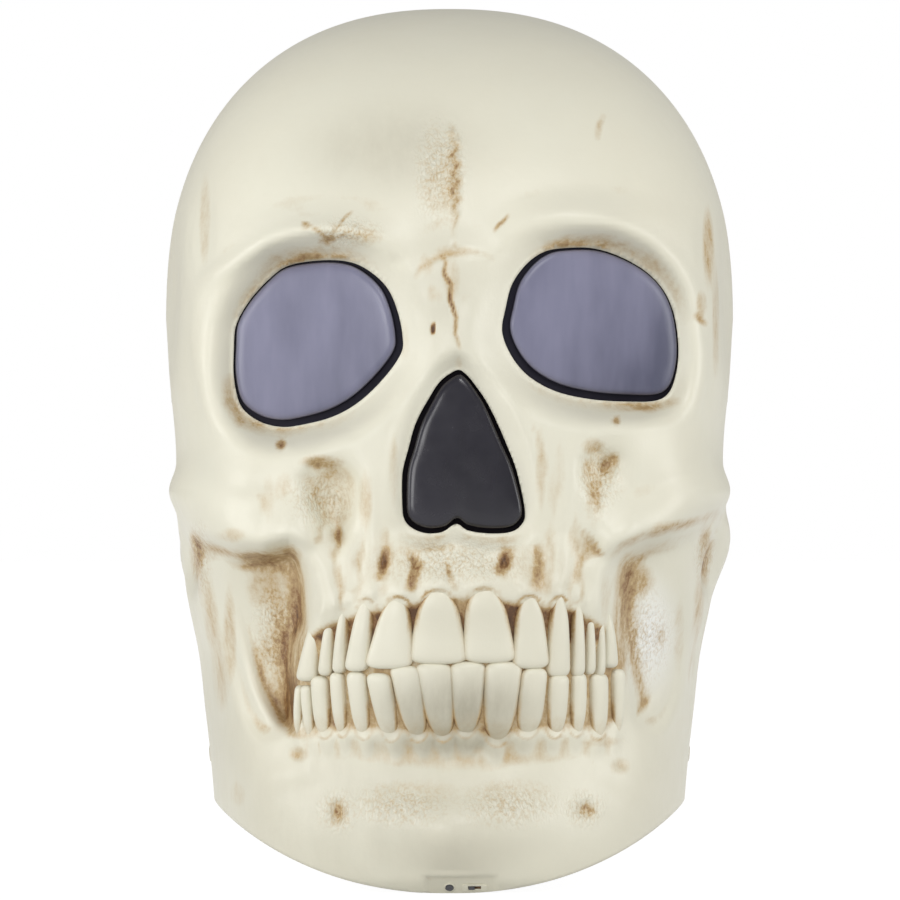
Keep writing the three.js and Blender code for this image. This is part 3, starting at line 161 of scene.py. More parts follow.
def profile(column, at):
    """A smooth curve through a column of the profile, read at shares of the height."""
    heights, values = PROFILE[:, 0], PROFILE[:, column]
    row = np.clip(np.searchsorted(heights, at, side="right") - 1, 0, len(heights) - 2)
    before = np.maximum(np.arange(len(heights)) - 1, 0)
    after = np.minimum(np.arange(len(heights)) + 1, len(heights) - 1)
    slopes = (values[after] - values[before]) / (heights[after] - heights[before])
    step = heights[row + 1] - heights[row]
    share = np.clip((at - heights[row]) / step, 0, 1)
    started = share * (1 - share) ** 2 * step * slopes[row]
    turned = share * share * (share - 1) * step * slopes[row + 1]
    return mix(values[row], values[row + 1], share * share * (3 - 2 * share)) + started + turned


def plan_reach(angle, half_width, ahead, squareness):
    across = np.abs(np.sin(angle)) / np.maximum(half_width, 1e-6)
    along = np.abs(np.cos(angle)) / np.maximum(ahead, 1e-6)
    return (across ** squareness + along ** squareness) ** (-1 / squareness)


# %% [markdown]
# The skull stands on a flat foot. Seen from below it is a wedge with rounded corners, wide at
# the chin and narrow at the back of the head, and three straight sides joined by a high power
# give just that.

# %% The rounded wedge that the skull stands on
FOOT = {"front": 0.417, "back": 0.320, "narrow": 0.085, "wide": 0.25, "squareness": 5}


def foot_reach(angle):
    front, back = FOOT["front"] * DEPTH, FOOT["back"] * DEPTH
    narrow, wide = FOOT["narrow"] * WIDTH, FOOT["wide"] * WIDTH
    flare = (wide - narrow) / (front + back)
    middle = narrow + flare * front
    ahead, across = np.cos(angle), np.abs(np.sin(angle))
    to_front = np.maximum(ahead, 0) / front
    to_back = np.maximum(-ahead, 0) / back
    to_side = np.maximum(across + flare * ahead, 0) / middle
    power = FOOT["squareness"]
    return (to_front ** power + to_back ** power + to_side ** power) ** (-1 / power)


# %% [markdown]
# The egg is read in two numbers: an angle from straight ahead, and a level that runs from 0
# at the crown to 1 at the widest height, 2 at the lower border and 3 at the edge of the foot.

# %% The egg
UNDER_CURVE = 1.3


def egg(angle, level):
    facing = np.cos(angle) > 0
    base = DOME_SHARE * HEIGHT
    round_across, round_along = DOME_ROUND
    lift = np.cos(np.clip(level, 0, 1) * np.pi / 2).clip(0) ** (2 / round_across)
    lift = np.where(level >= 1, 0, lift)
    shrink_across = (1 - lift ** round_across) ** (1 / round_across)
    shrink_along = (1 - lift ** round_across) ** (1 / round_along)

    def plan(share, across=1.0, along=1.0):
        half_width = profile(1, share) * WIDTH / 2 * across
        ahead = np.where(facing, profile(2, share), profile(3, share)) * DEPTH / 2 * along
        square = mix(CROWN_ROUND, np.where(facing, profile(4, share), BACK_ROUND), across)
        return plan_reach(angle, half_width, ahead, square)

    corner = JAW_CORNER * HEIGHT
    corner_share = np.full_like(angle, JAW_CORNER)
    side_share = plan(corner_share) * np.abs(np.sin(angle)) / (profile(1, corner_share) * WIDTH / 2)
    back_rise = ramp(0, 1, -np.cos(angle)) * (JAW_BACK * HEIGHT - corner)
    border = np.where(facing, corner * side_share ** JAW_SWEEP, corner + back_rise)
    height = np.where(level < 1, base, mix(base, border, np.clip(level - 1, 0, 1)))
    reach = plan(height / HEIGHT, shrink_across, shrink_along)
    up = np.where(level < 1, base + (HEIGHT - base) * lift, height)
    under = np.clip(level - 2, 0, 1)
    reach = mix(reach, foot_reach(angle), under)
    up = np.where(level > 2, border * (1 - under) ** UNDER_CURVE, up)
    return np.stack([np.sin(angle) * reach, -np.cos(angle) * reach, up], axis=-1)


# %% [markdown]
# ## Hills and hollows
# Brows, cheekbones, chin and the dents between them are soft hills on the egg. Each row gives
# a hill's place and size in shares of the skull, the same ones as the moulding was built with.
# They could be raised one by one in edit mode, but a sum of round hills has no creases where
# two of them meet.

# %% Hills
# place across, height, half-width, half-height, rise
FACE_HILLS = [
    [-0.219, 0.727, 0.180, 0.048, 0.024],
    [0.238, 0.741, 0.187, 0.048, 0.024],
    [0.014, 0.700, 0.100, 0.050, 0.014],
    [0.012, 0.612, 0.085, 0.090, 0.018],
    [0.026, 0.350, 0.270, 0.070, 0.018],
    [-0.378, 0.450, 0.120, 0.062, 0.026],
    [0.413, 0.462, 0.120, 0.062, 0.026],
    [-0.194, 0.437, 0.062, 0.072, -0.026],
    [0.267, 0.475, 0.060, 0.048, -0.020],
    [0.020, 0.160, 0.260, 0.036, -0.018],
    [0.020, 0.078, 0.190, 0.062, 0.022],
    [-0.350, 0.125, 0.090, 0.080, 0.014],
    [0.350, 0.125, 0.090, 0.080, 0.014],
]
# place along, height, half-length, half-height, rise
SIDE_HILLS = [
    [-0.170, 0.445, 0.230, 0.034, 0.014],
    [-0.170, 0.665, 0.150, 0.115, -0.016],
    [-0.130, 0.365, 0.110, 0.056, -0.022],
    [-0.040, 0.250, 0.080, 0.150, 0.006],
    [0.100, 0.360, 0.070, 0.075, 0.018],
]
# the joint of the jaw stands out more on the right
RIGHT_HILLS = [[-0.040, 0.382, 0.110, 0.066, 0.020]]
BACK_HILLS = [
    [0.000, 0.535, 0.300, 0.060, 0.012],
    [0.000, 0.425, 0.200, 0.060, -0.012],
]
MUZZLE = [0.018, 0.265, 0.300, 0.140, 0.034]


def hills(table, span, at, up, rise):
    total = np.zeros_like(at)
    for middle, height, half_span, half_height, rise_share in table:
        away = np.hypot((at / span - middle) / half_span, (up / HEIGHT - height) / half_height)
        total += rise * rise_share * np.where(away < 1, (1 + np.cos(np.pi * away)) / 2, 0)
    return total


def muzzle(across, up):
    """The flat-topped hill that carries both rows of teeth."""
    middle, height, half_span, half_height, rise_share = MUZZLE
    sideways = np.abs((across / WIDTH - middle) / half_span) ** 3
    upwards = np.abs((up / HEIGHT - height) / half_height) ** 3
    return DEPTH * rise_share * (1 - ramp(0.35, 1, (sideways + upwards) ** (1 / 3)))


def face_rise(across, up):
    return hills(FACE_HILLS, WIDTH, across, up, DEPTH) + muzzle(across, up)


def face_depth(across, up):
    """How far ahead the plain face reaches at a place across and up."""
    share = up / HEIGHT
    half_width, ahead, square = (profile(column, share) for column in (1, 2, 4))
    half_width, ahead = half_width * WIDTH / 2, ahead * DEPTH / 2
    side = np.clip(np.abs(across) / half_width, 0, 0.999)
    return -ahead * (1 - side ** square) ** (1 / square) - face_rise(across, up)


# %% [markdown]
# ## The windows
# Each opening has a wavy outline, because it is trimmed by hand out of the moulding. The
# outline is kept as points round the middle and smoothed, and the flat seat behind it leans
# with the face. A boolean cut would leave thin triangles along the rim. Here the mesh itself is
# drawn onto the outline later, which keeps the edge smooth.

# %% Windows
LEFT_EYE_OUTLINE = [
    (-0.99, -0.07), (-0.99, -0.42), (-0.91, -0.74), (-0.70, -0.92), (-0.43, -0.99),
    (-0.16, -0.96), (0.20, -0.86), (0.51, -0.68), (0.80, -0.40), (0.99, -0.13),
    (1.01, 0.07), (0.95, 0.37), (0.83, 0.64), (0.62, 0.84), (0.38, 0.95),
    (0.05, 0.97), (-0.34, 0.91), (-0.57, 0.75), (-0.80, 0.50), (-0.96, 0.22),
]
RIGHT_EYE_OUTLINE = [
    (-1.00, -0.10), (-0.89, -0.42), (-0.69, -0.68), (-0.38, -0.87), (0.03, -0.97),
    (0.46, -1.00), (0.74, -0.99), (0.89, -0.89), (0.97, -0.66), (1.00, -0.38),
    (0.98, -0.05), (0.92, 0.24), (0.80, 0.50), (0.60, 0.72), (0.31, 0.90),
    (0.00, 1.00), (-0.36, 0.99), (-0.56, 0.93), (-0.74, 0.77), (-0.89, 0.52), (-0.96, 0.22),
]
NOSE_OUTLINE = [
    (-0.98, -0.64), (-0.95, -0.82), (-0.82, -0.93), (-0.59, -0.99), (-0.33, -0.97),
    (-0.11, -0.87), (0.07, -0.95), (0.38, -0.99), (0.74, -0.98), (0.93, -0.90),
    (1.00, -0.73), (0.86, -0.25), (0.68, 0.09), (0.41, 0.54), (0.19, 0.80),
    (0.02, 0.95), (-0.11, 0.98), (-0.36, 0.85), (-0.55, 0.63), (-0.75, 0.34),
    (-0.87, 0.03), (-0.97, -0.26),
]
# the gap round a panel, the seat's flat margin, the slope of the rim, and how far outside the
# gap a torn edge may lie and still be drawn onto it
WINDOW = {"gap": 2.4 * MM, "seat": 4 * MM, "slope": 0.75, "reach": 12 * MM}
WINDOW_TURNS = 720


def smooth_outline(points, steps=40):
    """A closed curve through points, as a dense ring."""
    points = np.asarray(points, float)
    before, after, beyond = (np.roll(points, shift, axis=0) for shift in (1, -1, -2))
    rings = []
    for share in np.arange(steps) / steps:
        rings.append(0.5 * (
            2 * points + (after - before) * share
            + (2 * before - 5 * points + 4 * after - beyond) * share ** 2
            + (3 * points - before - 3 * after + beyond) * share ** 3
        ))
    return np.stack(rings, axis=1).reshape(-1, 2)


class Window:
    """An opening's outline, as a reach for each turn, and its leaning seat."""

    def __init__(self, across, up, out, half_width, half_height, lean, nod, rim, outline):
        self.middle = np.array([across * WIDTH, up * HEIGHT])
        self.out = out * DEPTH
        self.half = np.array([half_width * WIDTH, half_height * HEIGHT])
        self.lean, self.nod, self.rim = math.tan(math.radians(lean)), nod, rim * WIDTH
        ring = smooth_outline(outline) * self.half
        turns = (np.arctan2(ring[:, 1], ring[:, 0]) / (2 * np.pi)) % 1
        order = np.argsort(turns)
        self.turns = np.arange(WINDOW_TURNS) / WINDOW_TURNS
        self.reach = np.interp(self.turns, turns[order], np.hypot(*ring.T)[order], period=1)

    def seat(self, across, up):
        return (self.out + (across - self.middle[0]) * self.lean
                + (up - self.middle[1]) * self.nod)

    def outside(self, across, up):
        """How far a place lies outside the outline, along the line from its middle."""
        away = np.stack([across - self.middle[0], up - self.middle[1]])
        turn = (np.arctan2(away[1], away[0]) / (2 * np.pi)) % 1
        return np.hypot(*away) - np.interp(turn, self.turns, self.reach, period=1)


# shares across, up and out, half-width, half-height, lean in degrees, nod, rim
windows = {
    "left_eye": Window(-0.226, 0.611, -0.383, 0.141, 0.092, -22, -0.04, 0.056, LEFT_EYE_OUTLINE),
    "right_eye": Window(0.241, 0.631, -0.383, 0.1475, 0.083, 22, -0.04, 0.056, RIGHT_EYE_OUTLINE),
    "nose": Window(0.023, 0.490, -0.452, 0.102, 0.089, 0, 0, 0.036, NOSE_OUTLINE),
}
for name, window in windows.items():
    print(name, "middle", window.middle.round(4), "half", window.half.round(4))

# %% [markdown]
# ## Strokes and patches
# The smaller forms were pressed into the clay with fingers and tools: ridges and grooves
# along a line, and hollows with an edge. A height picture could press them in, but a few
# points drawn over the photograph do the same with no picture. A stroke rises or sinks round
# its line, and a patch sinks inside its outline.

# %% Reading strokes and patches
def line_distance(across, up, points, closed=False):
    """The distance to a line, the share of its length at the nearest place, and the side."""
    points = list(map(tuple, points)) + ([tuple(points[0])] if closed else [])
    lengths = [math.dist(one, other) for one, other in zip(points, points[1:])]
    total, done = sum(lengths), 0.0
    best, along, left = (np.full(across.shape, value) for value in (9.0, 0.0, 0.0))
    for (ax, az), (bx, bz), length in zip(points, points[1:], lengths):
        share = ((across - ax) * (bx - ax) + (up - az) * (bz - az)) / length ** 2
        share = np.clip(share, 0, 1)
        away = np.hypot(across - ax - share * (bx - ax), up - az - share * (bz - az))
        nearer = away < best
        best = np.where(nearer, away, best)
        along = np.where(nearer, (done + share * length) / total, along)
        left = np.where(nearer, (bx - ax) * (up - az) - (bz - az) * (across - ax), left)
        done += length
    return best, along, left > 0


def inside_patch(across, up, points):
    inside = np.zeros(across.shape, bool)
    for (ax, az), (bx, bz) in zip(points, np.roll(points, -1, axis=0)):
        crosses = (az > up) != (bz > up)
        at = ax + (up - az) * (bx - ax) / (bz - az if bz != az else 1e-9)
        inside ^= crosses & (across < at)
    return inside


def stroke(across, up, pixels, left_width, right_width=None):
    """A rounded line that fades towards its ends, and may be steeper on one side."""
    away, along, left = line_distance(across, up, from_photo(pixels))
    width = np.where(left, left_width, right_width or left_width)
    round_ = np.where(away < width, (1 + np.cos(np.pi * away / width)) / 2, 0)
    return round_ * np.sin(np.pi * np.clip(along, 0, 1)) ** 0.6


def patch(across, up, pixels, edge):
    points = smooth_outline(from_photo(pixels), steps=5)
    away, _, _ = line_distance(across, up, points, closed=True)
    return np.where(inside_patch(across, up, points), ramp(0, edge, away), 0)


def dimple(across, up, pixel, half_width, half_height):
    middle = from_photo(pixel)
    away = np.hypot((across - middle[0]) / half_width, (up - middle[1]) / half_height)
    return np.where(away < 1, (1 + np.cos(np.pi * away)) / 2, 0)


# %% Ridges, over the photograph
# pixels, the width left and right of the line, and the rise, in millimetres
RIDGES = [
    ([(186, 312), (196, 292), (214, 274), (244, 256), (268, 243), (300, 233), (335, 231)],
     18, 13, 8),
    ([(300, 235), (340, 232), (378, 240), (404, 262)], 14, 10, 3),
    ([(210, 436), (199, 400), (192, 360), (189, 325), (196, 292)], 8, 22, 5),
    ([(520, 262), (548, 240), (580, 229), (612, 228)], 14, 10, 3),
    ([(568, 232), (612, 228), (649, 244), (672, 262), (690, 286), (701, 318)], 18, 13, 8),
    ([(699, 322), (707, 350), (707, 380), (698, 418)], 8, 22, 5),
    ([(388, 525), (390, 490), (398, 440), (415, 394), (442, 358)], 10, 9, 4),
    ([(474, 356), (505, 390), (526, 435), (539, 480), (543, 520)], 10, 9, 4),
    ([(388, 540), (420, 548), (455, 541), (500, 549), (540, 536)], 9, 9, 3),
    ([(240, 440), (285, 440), (335, 434), (378, 416), (406, 386)], 10, 16, 3),
    ([(506, 372), (535, 400), (585, 416), (645, 420), (690, 408)], 10, 16, 3),
    ([(150, 470), (168, 498), (186, 520), (208, 532), (236, 540), (262, 540), (288, 531),
      (316, 540)], 46, 20, 28),
    ([(280, 528), (304, 543), (320, 570), (325, 604), (316, 640), (304, 670)], 26, 15, 12),
    ([(600, 552), (618, 538), (642, 530), (670, 524), (698, 515), (722, 502), (748, 474)],
     46, 20, 28),
    ([(616, 664), (600, 640), (596, 606), (600, 572), (616, 546), (640, 532)], 26, 15, 12),
    ([(668, 745), (688, 700), (695, 650), (694, 600), (690, 560)], 14, 12, 5),
    ([(352, 590), (346, 560), (354, 535)], 14, 14, 5),
    ([(562, 588), (566, 560), (560, 535)], 14, 14, 5),
    ([(366, 470), (372, 500), (372, 540), (366, 580)], 16, 9, 4),
    ([(562, 585), (560, 540), (566, 500), (576, 460)], 12, 12, 3),
    ([(449, 120), (451, 150), (449, 185), (451, 215)], 12, 12, 1.6),
    ([(448, 800), (450, 836), (449, 868)], 46, 46, 5),
    ([(316, 766), (280, 780), (240, 796)], 24, 24, 4),
    ([(592, 770), (632, 786), (664, 798)], 24, 24, 4),
]
BEADS = [  # raised beads along the suture
    (452, 132), (457, 141), (450, 150), (457, 159), (451, 168), (458, 177), (452, 186), (458, 195),
    (452, 204), (457, 212),
]
BEAD = {"rise": 2.8 * MM, "half_width": 6.5 * MM, "half_height": 5 * MM}
print(len(RIDGES), "ridges and", len(BEADS), "beads")

# %% Cracks and pits, over the photograph
# pixels, half-width and depth, in millimetres
GROOVES = [
    ([(455, 122), (450, 134), (458, 146), (452, 155), (458, 164), (452, 173), (458, 182), (452, 191),
      (458, 200), (453, 208), (457, 218), (453, 230), (455, 246)], 2.4, 1.4),
    ([(441, 255), (446, 264), (444, 274), (451, 286), (450, 300), (456, 318), (455, 334), (461, 352)],
     2.8, 2.6),
    ([(414, 282), (420, 270), (434, 260), (452, 254), (470, 252), (488, 257), (496, 262)], 4, 1.4),
    ([(309, 226), (318, 231), (327, 239), (340, 238), (352, 232)], 3.5, 1.6),
    ([(327, 241), (338, 228), (346, 217), (354, 211)], 2.4, 1.2),
    ([(493, 233), (498, 226), (503, 222), (510, 214)], 3, 1.6),
    ([(598, 140), (600, 124), (606, 110)], 5, 1.0),
    ([(696, 312), (704, 320), (712, 324)], 4, 3),
    ([(188, 200), (184, 240), (188, 280)], 6, 1.4),
    ([(434, 322), (433, 336)], 3, 1.6),
    ([(184, 552), (196, 580), (206, 620), (213, 670), (217, 720)], 9, 3),
    ([(716, 556), (708, 590), (703, 640), (700, 690)], 8, 3),
    ([(250, 480), (262, 500), (268, 520)], 6, 1.0),
    ([(262, 563), (282, 559), (300, 562)], 4, 1.6),
    ([(404, 300), (410, 340), (402, 380)], 9, 1.6),
    ([(500, 330), (506, 350), (520, 375)], 8, 1.4),
]
FINE_GROOVES = GROOVES[:10]
# pixel, half-width, half-height and depth in millimetres
DIMPLES = [
    ((281, 445), 6, 7, 5), ((616, 421), 5, 5, 3.5), ((433, 330), 3.5, 7, 2.5),
    ((338, 812), 12, 18, 7), ((585, 810), 15, 13, 6), ((384, 562), 8, 18, 6),
    ((414, 562), 9, 16, 5), ((449, 572), 7, 18, 3), ((504, 562), 11, 15, 5.5),
    ((536, 556), 10, 19, 5), ((315, 466), 13, 11, 5), ((596, 450), 13, 12, 4),
    ((307, 224), 5, 4, 2), ((327, 241), 6, 4, 2.5), ((622, 768), 10, 8, 2.5), ((297, 757), 12, 9, 3),
    ((455, 246), 8, 5, 2), ((604, 468), 9, 12, 3), ((338, 535), 9, 14, 4),
    ((710, 540), 12, 16, 6), ((726, 540), 6, 7, -4), ((289, 447), 5, 5, -2),
    ((200, 226), 20, 62, 6), ((708, 246), 16, 56, 6), ((396, 262), 10, 12, 1.5),
    ((478, 750), 9, 7, 1.6), ((500, 744), 8, 7, 1.2),
]
print(len(GROOVES), "grooves and", len(DIMPLES), "dimples")

# %% Hollows with an edge, over the photograph
# pixels, width of the edge and depth in millimetres, and the pixels across between which a
# patch deepens, if its floor slopes
PATCHES = [
    ([(180, 530), (206, 540), (236, 547), (262, 547), (290, 538), (306, 548), (313, 572),
      (313, 620), (302, 660), (299, 728), (284, 742), (256, 748), (232, 720), (214, 660),
      (196, 604)], 20, 14, None),
    ([(610, 580), (616, 556), (644, 538), (692, 528), (728, 512), (716, 590), (704, 650), (690, 710),
      (664, 740), (636, 734), (626, 694), (616, 640)], 20, 12, None),
    ([(216, 560), (240, 553), (262, 551), (288, 547), (304, 556), (312, 580), (313, 620),
      (304, 645), (299, 668), (300, 690), (299, 726), (288, 738), (270, 730), (246, 690),
      (230, 640), (218, 600)], 18, 36, (210, 290)),
    ([(610, 580), (618, 556), (645, 543), (674, 539), (698, 544), (702, 600), (700, 640), (690, 680),
      (672, 706), (650, 722), (634, 726), (626, 694), (617, 656), (610, 620)], 18, 16, (696, 622)),
    ([(292, 474), (322, 456), (348, 458), (366, 476), (364, 505), (352, 540), (338, 556),
      (322, 530), (300, 506)], 20, 10, None),
    ([(574, 456), (592, 446), (618, 448), (625, 465), (612, 486), (600, 520), (582, 500),
      (572, 478)], 18, 9, None),
]


def relief(across, up):
    """How far the smaller forms stand out of the face."""
    total = np.zeros_like(across)
    for pixels, left_width, right_width, rise in RIDGES:
        total += rise * MM * stroke(across, up, pixels, left_width * MM, right_width * MM)
    for pixel in BEADS:
        total += BEAD["rise"] * dimple(across, up, pixel, BEAD["half_width"], BEAD["half_height"])
    for pixels, half_width, depth in GROOVES:
        total -= depth * MM * stroke(across, up, pixels, half_width * MM)
    for pixel, half_width, half_height, depth in DIMPLES:
        total -= depth * MM * dimple(across, up, pixel, half_width * MM, half_height * MM)
    for pixels, edge, depth, slope in PATCHES:
        sunk = patch(across, up, pixels, edge * MM)
        if slope:
            shallow, deep = (from_photo((pixel, 0))[0] for pixel in slope)
            sunk = sunk * ramp(0, 1, (across - shallow) / (deep - shallow))
        total -= depth * MM * sunk
    return total


# %% [markdown]
# ## The teeth's places
# Both arches are drawn over the photograph too. A tooth's row gives the middle and the
# half-width of its gum and of its biting edge, in pixels. The gum behind the crowns is sunk, so
# that the gaps between them are dark, and every root swells the bone beyond its crown.

# %% Teeth places
UPPER_TEETH = [  # gum x, y, half-width, bite x, y, half-width
    (318, 627, 5.0, 305, 682, 11.5), (332, 622, 4.0, 325, 676, 7.5),
    (345, 617, 5.0, 339, 673, 7.0), (367, 609, 9.0, 356, 671, 12.0),
    (398, 607, 13.5, 388, 668, 22.0), (438, 600, 18.0, 438, 663, 27.0),
    (484, 598, 18.5, 490, 662, 24.5), (529, 606, 13.0, 531, 668, 17.5),
    (559, 607, 9.5, 558, 677, 12.5), (577, 610, 5.5, 578, 677, 7.0),
    (588, 616, 4.0, 590, 675, 5.5), (599, 622, 4.0, 600, 677, 5.0),
    (607, 624, 4.0, 611, 669, 9.0),
]
LOWER_TEETH = [
    (298, 728, 4.0, 300, 690, 5.0), (311, 733, 5.0, 306, 690, 6.0),
    (324, 729, 8.5, 319, 680, 9.5), (342, 727, 6.5, 337, 676, 7.5),
    (364, 729, 8.0, 356, 675, 10.0), (391, 731, 9.0, 378, 676, 12.0),
    (418, 731, 10.0, 404, 668, 14.0), (443, 731, 10.5, 433, 665, 17.0),
    (466, 727, 10.5, 468, 664, 16.5), (497, 736, 11.5, 504, 664, 17.5),
    (527, 728, 12.0, 535, 671, 12.5), (555, 728, 9.0, 559, 678, 10.5),
    (577, 727, 7.5, 579, 677, 8.0), (599, 731, 8.5, 599, 678, 11.0),
    (618, 727, 5.5, 619, 674, 8.0),
]
TEETH_DEPTH = -0.345
print(len(UPPER_TEETH), "upper and", len(LOWER_TEETH), "lower teeth")

# %% The gum and the roots
MOUTH = [  # the outline of the sunk gum, in pixels
    (294, 660), (301, 642), (316, 626), (345, 614), (367, 606), (398, 602), (438, 594), (484, 592),
    (529, 600), (559, 603), (577, 607), (600, 619), (612, 628), (620, 646), (625, 690), (621, 726),
    (599, 737), (577, 735), (555, 736), (527, 736), (497, 743), (465, 736), (443, 739), (417, 738),
    (391, 737), (364, 736), (324, 736), (302, 733), (294, 704),
]
GUM = {"sink": 5.5 * MM, "edge": 12 * MM}
# a root starts to swell a little beyond the gum, is soon full, and fades over its length
ROOT = {"start": 5 * MM, "full": 14 * MM, "length": 36 * MM, "fade": 0.4, "rise": 6 * MM,
        "wider": 1.1, "margin": 2 * MM, "full_half": 11}


def mouth(across, up):
    """1 where the gum lies behind the crowns, 0 outside both arches."""
    return patch(across, up, MOUTH, GUM["edge"])


def roots(across, up):
    total = np.zeros_like(across)
    for gum_x, gum_y, half, bite_x, bite_y, _ in UPPER_TEETH + LOWER_TEETH:
        gum, bite = from_photo([(gum_x, gum_y), (bite_x, bite_y)], TEETH_DEPTH)
        axis = (gum - bite) / math.dist(gum, bite)
        half_width = half * ROOT["wider"] * MM + ROOT["margin"]
        away = np.abs((across - gum[0]) * axis[1] - (up - gum[1]) * axis[0]) / half_width
        beyond = (across - gum[0]) * axis[0] + (up - gum[1]) * axis[1]
        ridge = np.where(away < 1, (1 + np.cos(np.pi * away)) / 2, 0)
        ridge *= ramp(ROOT["start"], ROOT["full"], beyond)
        ridge *= 1 - ramp(ROOT["fade"], 1, beyond / ROOT["length"])
        total = np.maximum(total, ROOT["rise"] * min(1, half / ROOT["full_half"]) * ridge)
    return total


# %% [markdown]
# The real head isn't round where something is fixed to it. The battery door sits in a flat pad,
# the controls sit on a small flat under the chin, and a round boss stands round each seam
# screw. They could be separate pieces, but on the moulding they are one with the shell, so they
# are pressed into the same skin, at the places of the ready-made pieces.

# %% The pad, the flat under the chin and the bosses on the seam
PAD = {"out": 0.369 * DEPTH, "up": 0.278 * HEIGHT,
       "half_width": 0.076, "half_height": 0.062, "rim": 0.026}
CHIN_TILT = math.radians(40)
CHIN_FLAT = {"across": 12 * MM, "half_width": 31 * MM, "half_height": 12 * MM, "edge": 9 * MM,
             "behind": 0.45 * MM}
CHIN_FINE = (0.05, 0.03)  # how far across and up the skin is finer there
SWITCH_SLOT = {"half_width": 7.5 * MM, "half_height": 3.4 * MM, "depth": 4 * MM}
BOSS = {"behind": -9 * MM, "radius": 8 * MM, "edge": 1.5 * MM, "rise": 1.5 * MM}

bezel_low, bezel_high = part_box("switch_bezel")
bezel_middle = (bezel_low + bezel_high) / 2
flat_out = np.array([-math.cos(CHIN_TILT), -math.sin(CHIN_TILT)])
flat_up = np.array([-math.sin(CHIN_TILT), math.cos(CHIN_TILT)])
flat_middle = np.array(bezel_middle.yz) - CHIN_FLAT["behind"] * flat_out
boss_heights = [sum(box.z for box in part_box(f"left_seam_screw_{row}")) / 2 for row in (1, 2)]
print("controls at", flat_middle.round(4), "bosses at heights", np.round(boss_heights, 4))


def in_switch_slot(place):
    beside = np.abs(place[..., 0] - bezel_middle.x) < SWITCH_SLOT["half_width"]
    along = np.abs((place[..., 1:] - flat_middle) @ flat_up) < SWITCH_SLOT["half_height"]
    return beside & along & (place[..., 1] < CHIN_AHEAD)


def flatten_chin(place):
    """Sinks the places ahead of the controls' flat back onto it."""
    from_middle = place[..., 1:] - flat_middle
    ahead = from_middle @ flat_out
    beyond = np.maximum(
        np.abs(place[..., 0] - CHIN_FLAT["across"]) - CHIN_FLAT["half_width"],
        np.abs(from_middle @ flat_up) - CHIN_FLAT["half_height"])
    share = 1 - ramp(0, CHIN_FLAT["edge"], beyond)
    sunk = np.where(place[..., 1] < CHIN_AHEAD, np.maximum(ahead, 0) * share, 0)
    sunk += SWITCH_SLOT["depth"] * in_switch_slot(place)
    place[..., 1:] -= sunk[..., None] * flat_out


def boss_share(deep, up):
    total = np.zeros_like(deep)
    for height in boss_heights:
        away = np.hypot(deep - BOSS["behind"], up - height)
        total += 1 - ramp(BOSS["radius"] - BOSS["edge"], BOSS["radius"] + BOSS["edge"], away)
    return total


# %% [markdown]
# All the forms are now added up. The face moves ahead, the back moves behind and the sides
# move outwards, and each fades out before it meets the next, so that no step is left.

# %% The skin's place for an angle and a level
FADE = 0.35  # of the turn's cosine, at the edge of the face and of the back
SIDE_FADE = (0.2, 0.75)  # of the turn's sine


def face_shift(across, deep, up, facing):
    shown = ramp(0, FADE, facing)
    front = -shown * (face_rise(across, up) + relief(across, up) + roots(across, up))
    front += shown * mouth(across, up) * GUM["sink"]
    for window in windows.values():
        outside = window.outside(across, up) - WINDOW["seat"]
        sinks = window.seat(across, up) - deep
        sunk = 1 - ramp(0, window.rim, outside) ** WINDOW["slope"]
        front = mix(front, np.maximum(sinks, front), sunk)
    return front


def back_shift(across, deep, up, facing):
    behind = ramp(0, FADE, -facing) * hills(BACK_HILLS, WIDTH, across, up, DEPTH)
    beyond_pad = np.maximum(
        np.abs(across) - PAD["half_width"], np.abs(up - PAD["up"]) - PAD["half_height"])
    on_pad = (1 - ramp(0, PAD["rim"], beyond_pad)) * (facing < 0)
    return mix(behind, PAD["out"] - deep, on_pad)


def side_shift(across, deep, up, sideways):
    side = hills(SIDE_HILLS, DEPTH, deep, up, WIDTH)
    side += hills(RIGHT_HILLS, DEPTH, deep, up, WIDTH) * (across > 0)
    return side * ramp(*SIDE_FADE, np.abs(sideways)) + BOSS["rise"] * boss_share(deep, up)


def skin(angle, level):
    place = egg(angle, level)
    across, deep, up = (place[..., axis].copy() for axis in range(3))
    facing, sideways = np.cos(angle), np.sin(angle)
    above_border = level <= 2
    along = np.where(
        facing > 0, face_shift(across, deep, up, facing), back_shift(across, deep, up, facing))
    outwards = np.sign(sideways) * side_shift(across, deep, up, sideways)
    place[..., 0] += np.where(above_border, outwards, 0)
    place[..., 1] += np.where(above_border, along, 0)
    flatten_chin(place)
    return place


# %% [markdown]
# ## Wrapping a sheet round the egg
# A ball crowds its points at the crown and has few on the face, where the work is. So the skin
# starts as a flat grid. It is refined where fine work sits, at the windows, the teeth and the
# cracks, while it is still flat. Only then is it wrapped, so that every new point lands on the
# true form.

# %% Small helpers for edit mode
def select_only(obj):
    bpy.ops.object.select_all(action="DESELECT")
    obj.select_set(True)
    bpy.context.view_layer.objects.active = obj


def read_rows(items, what, columns, kind=float):
    """One value of every vertex, edge or face of a mesh, as rows."""
    values = np.empty(len(items) * columns, kind)
    items.foreach_get(what, values)
    return values.reshape(-1, columns)


def points_of(mesh):
    return read_rows(mesh.vertices, "co", 3)


def face_middles(mesh):
    return read_rows(mesh.polygons, "center", 3)


def edges_of(mesh):
    return read_rows(mesh.edges, "vertices", 2, int)


def set_points(mesh, places):
    mesh.vertices.foreach_set("co", np.ascontiguousarray(places, np.float64).ravel())
    mesh.update()


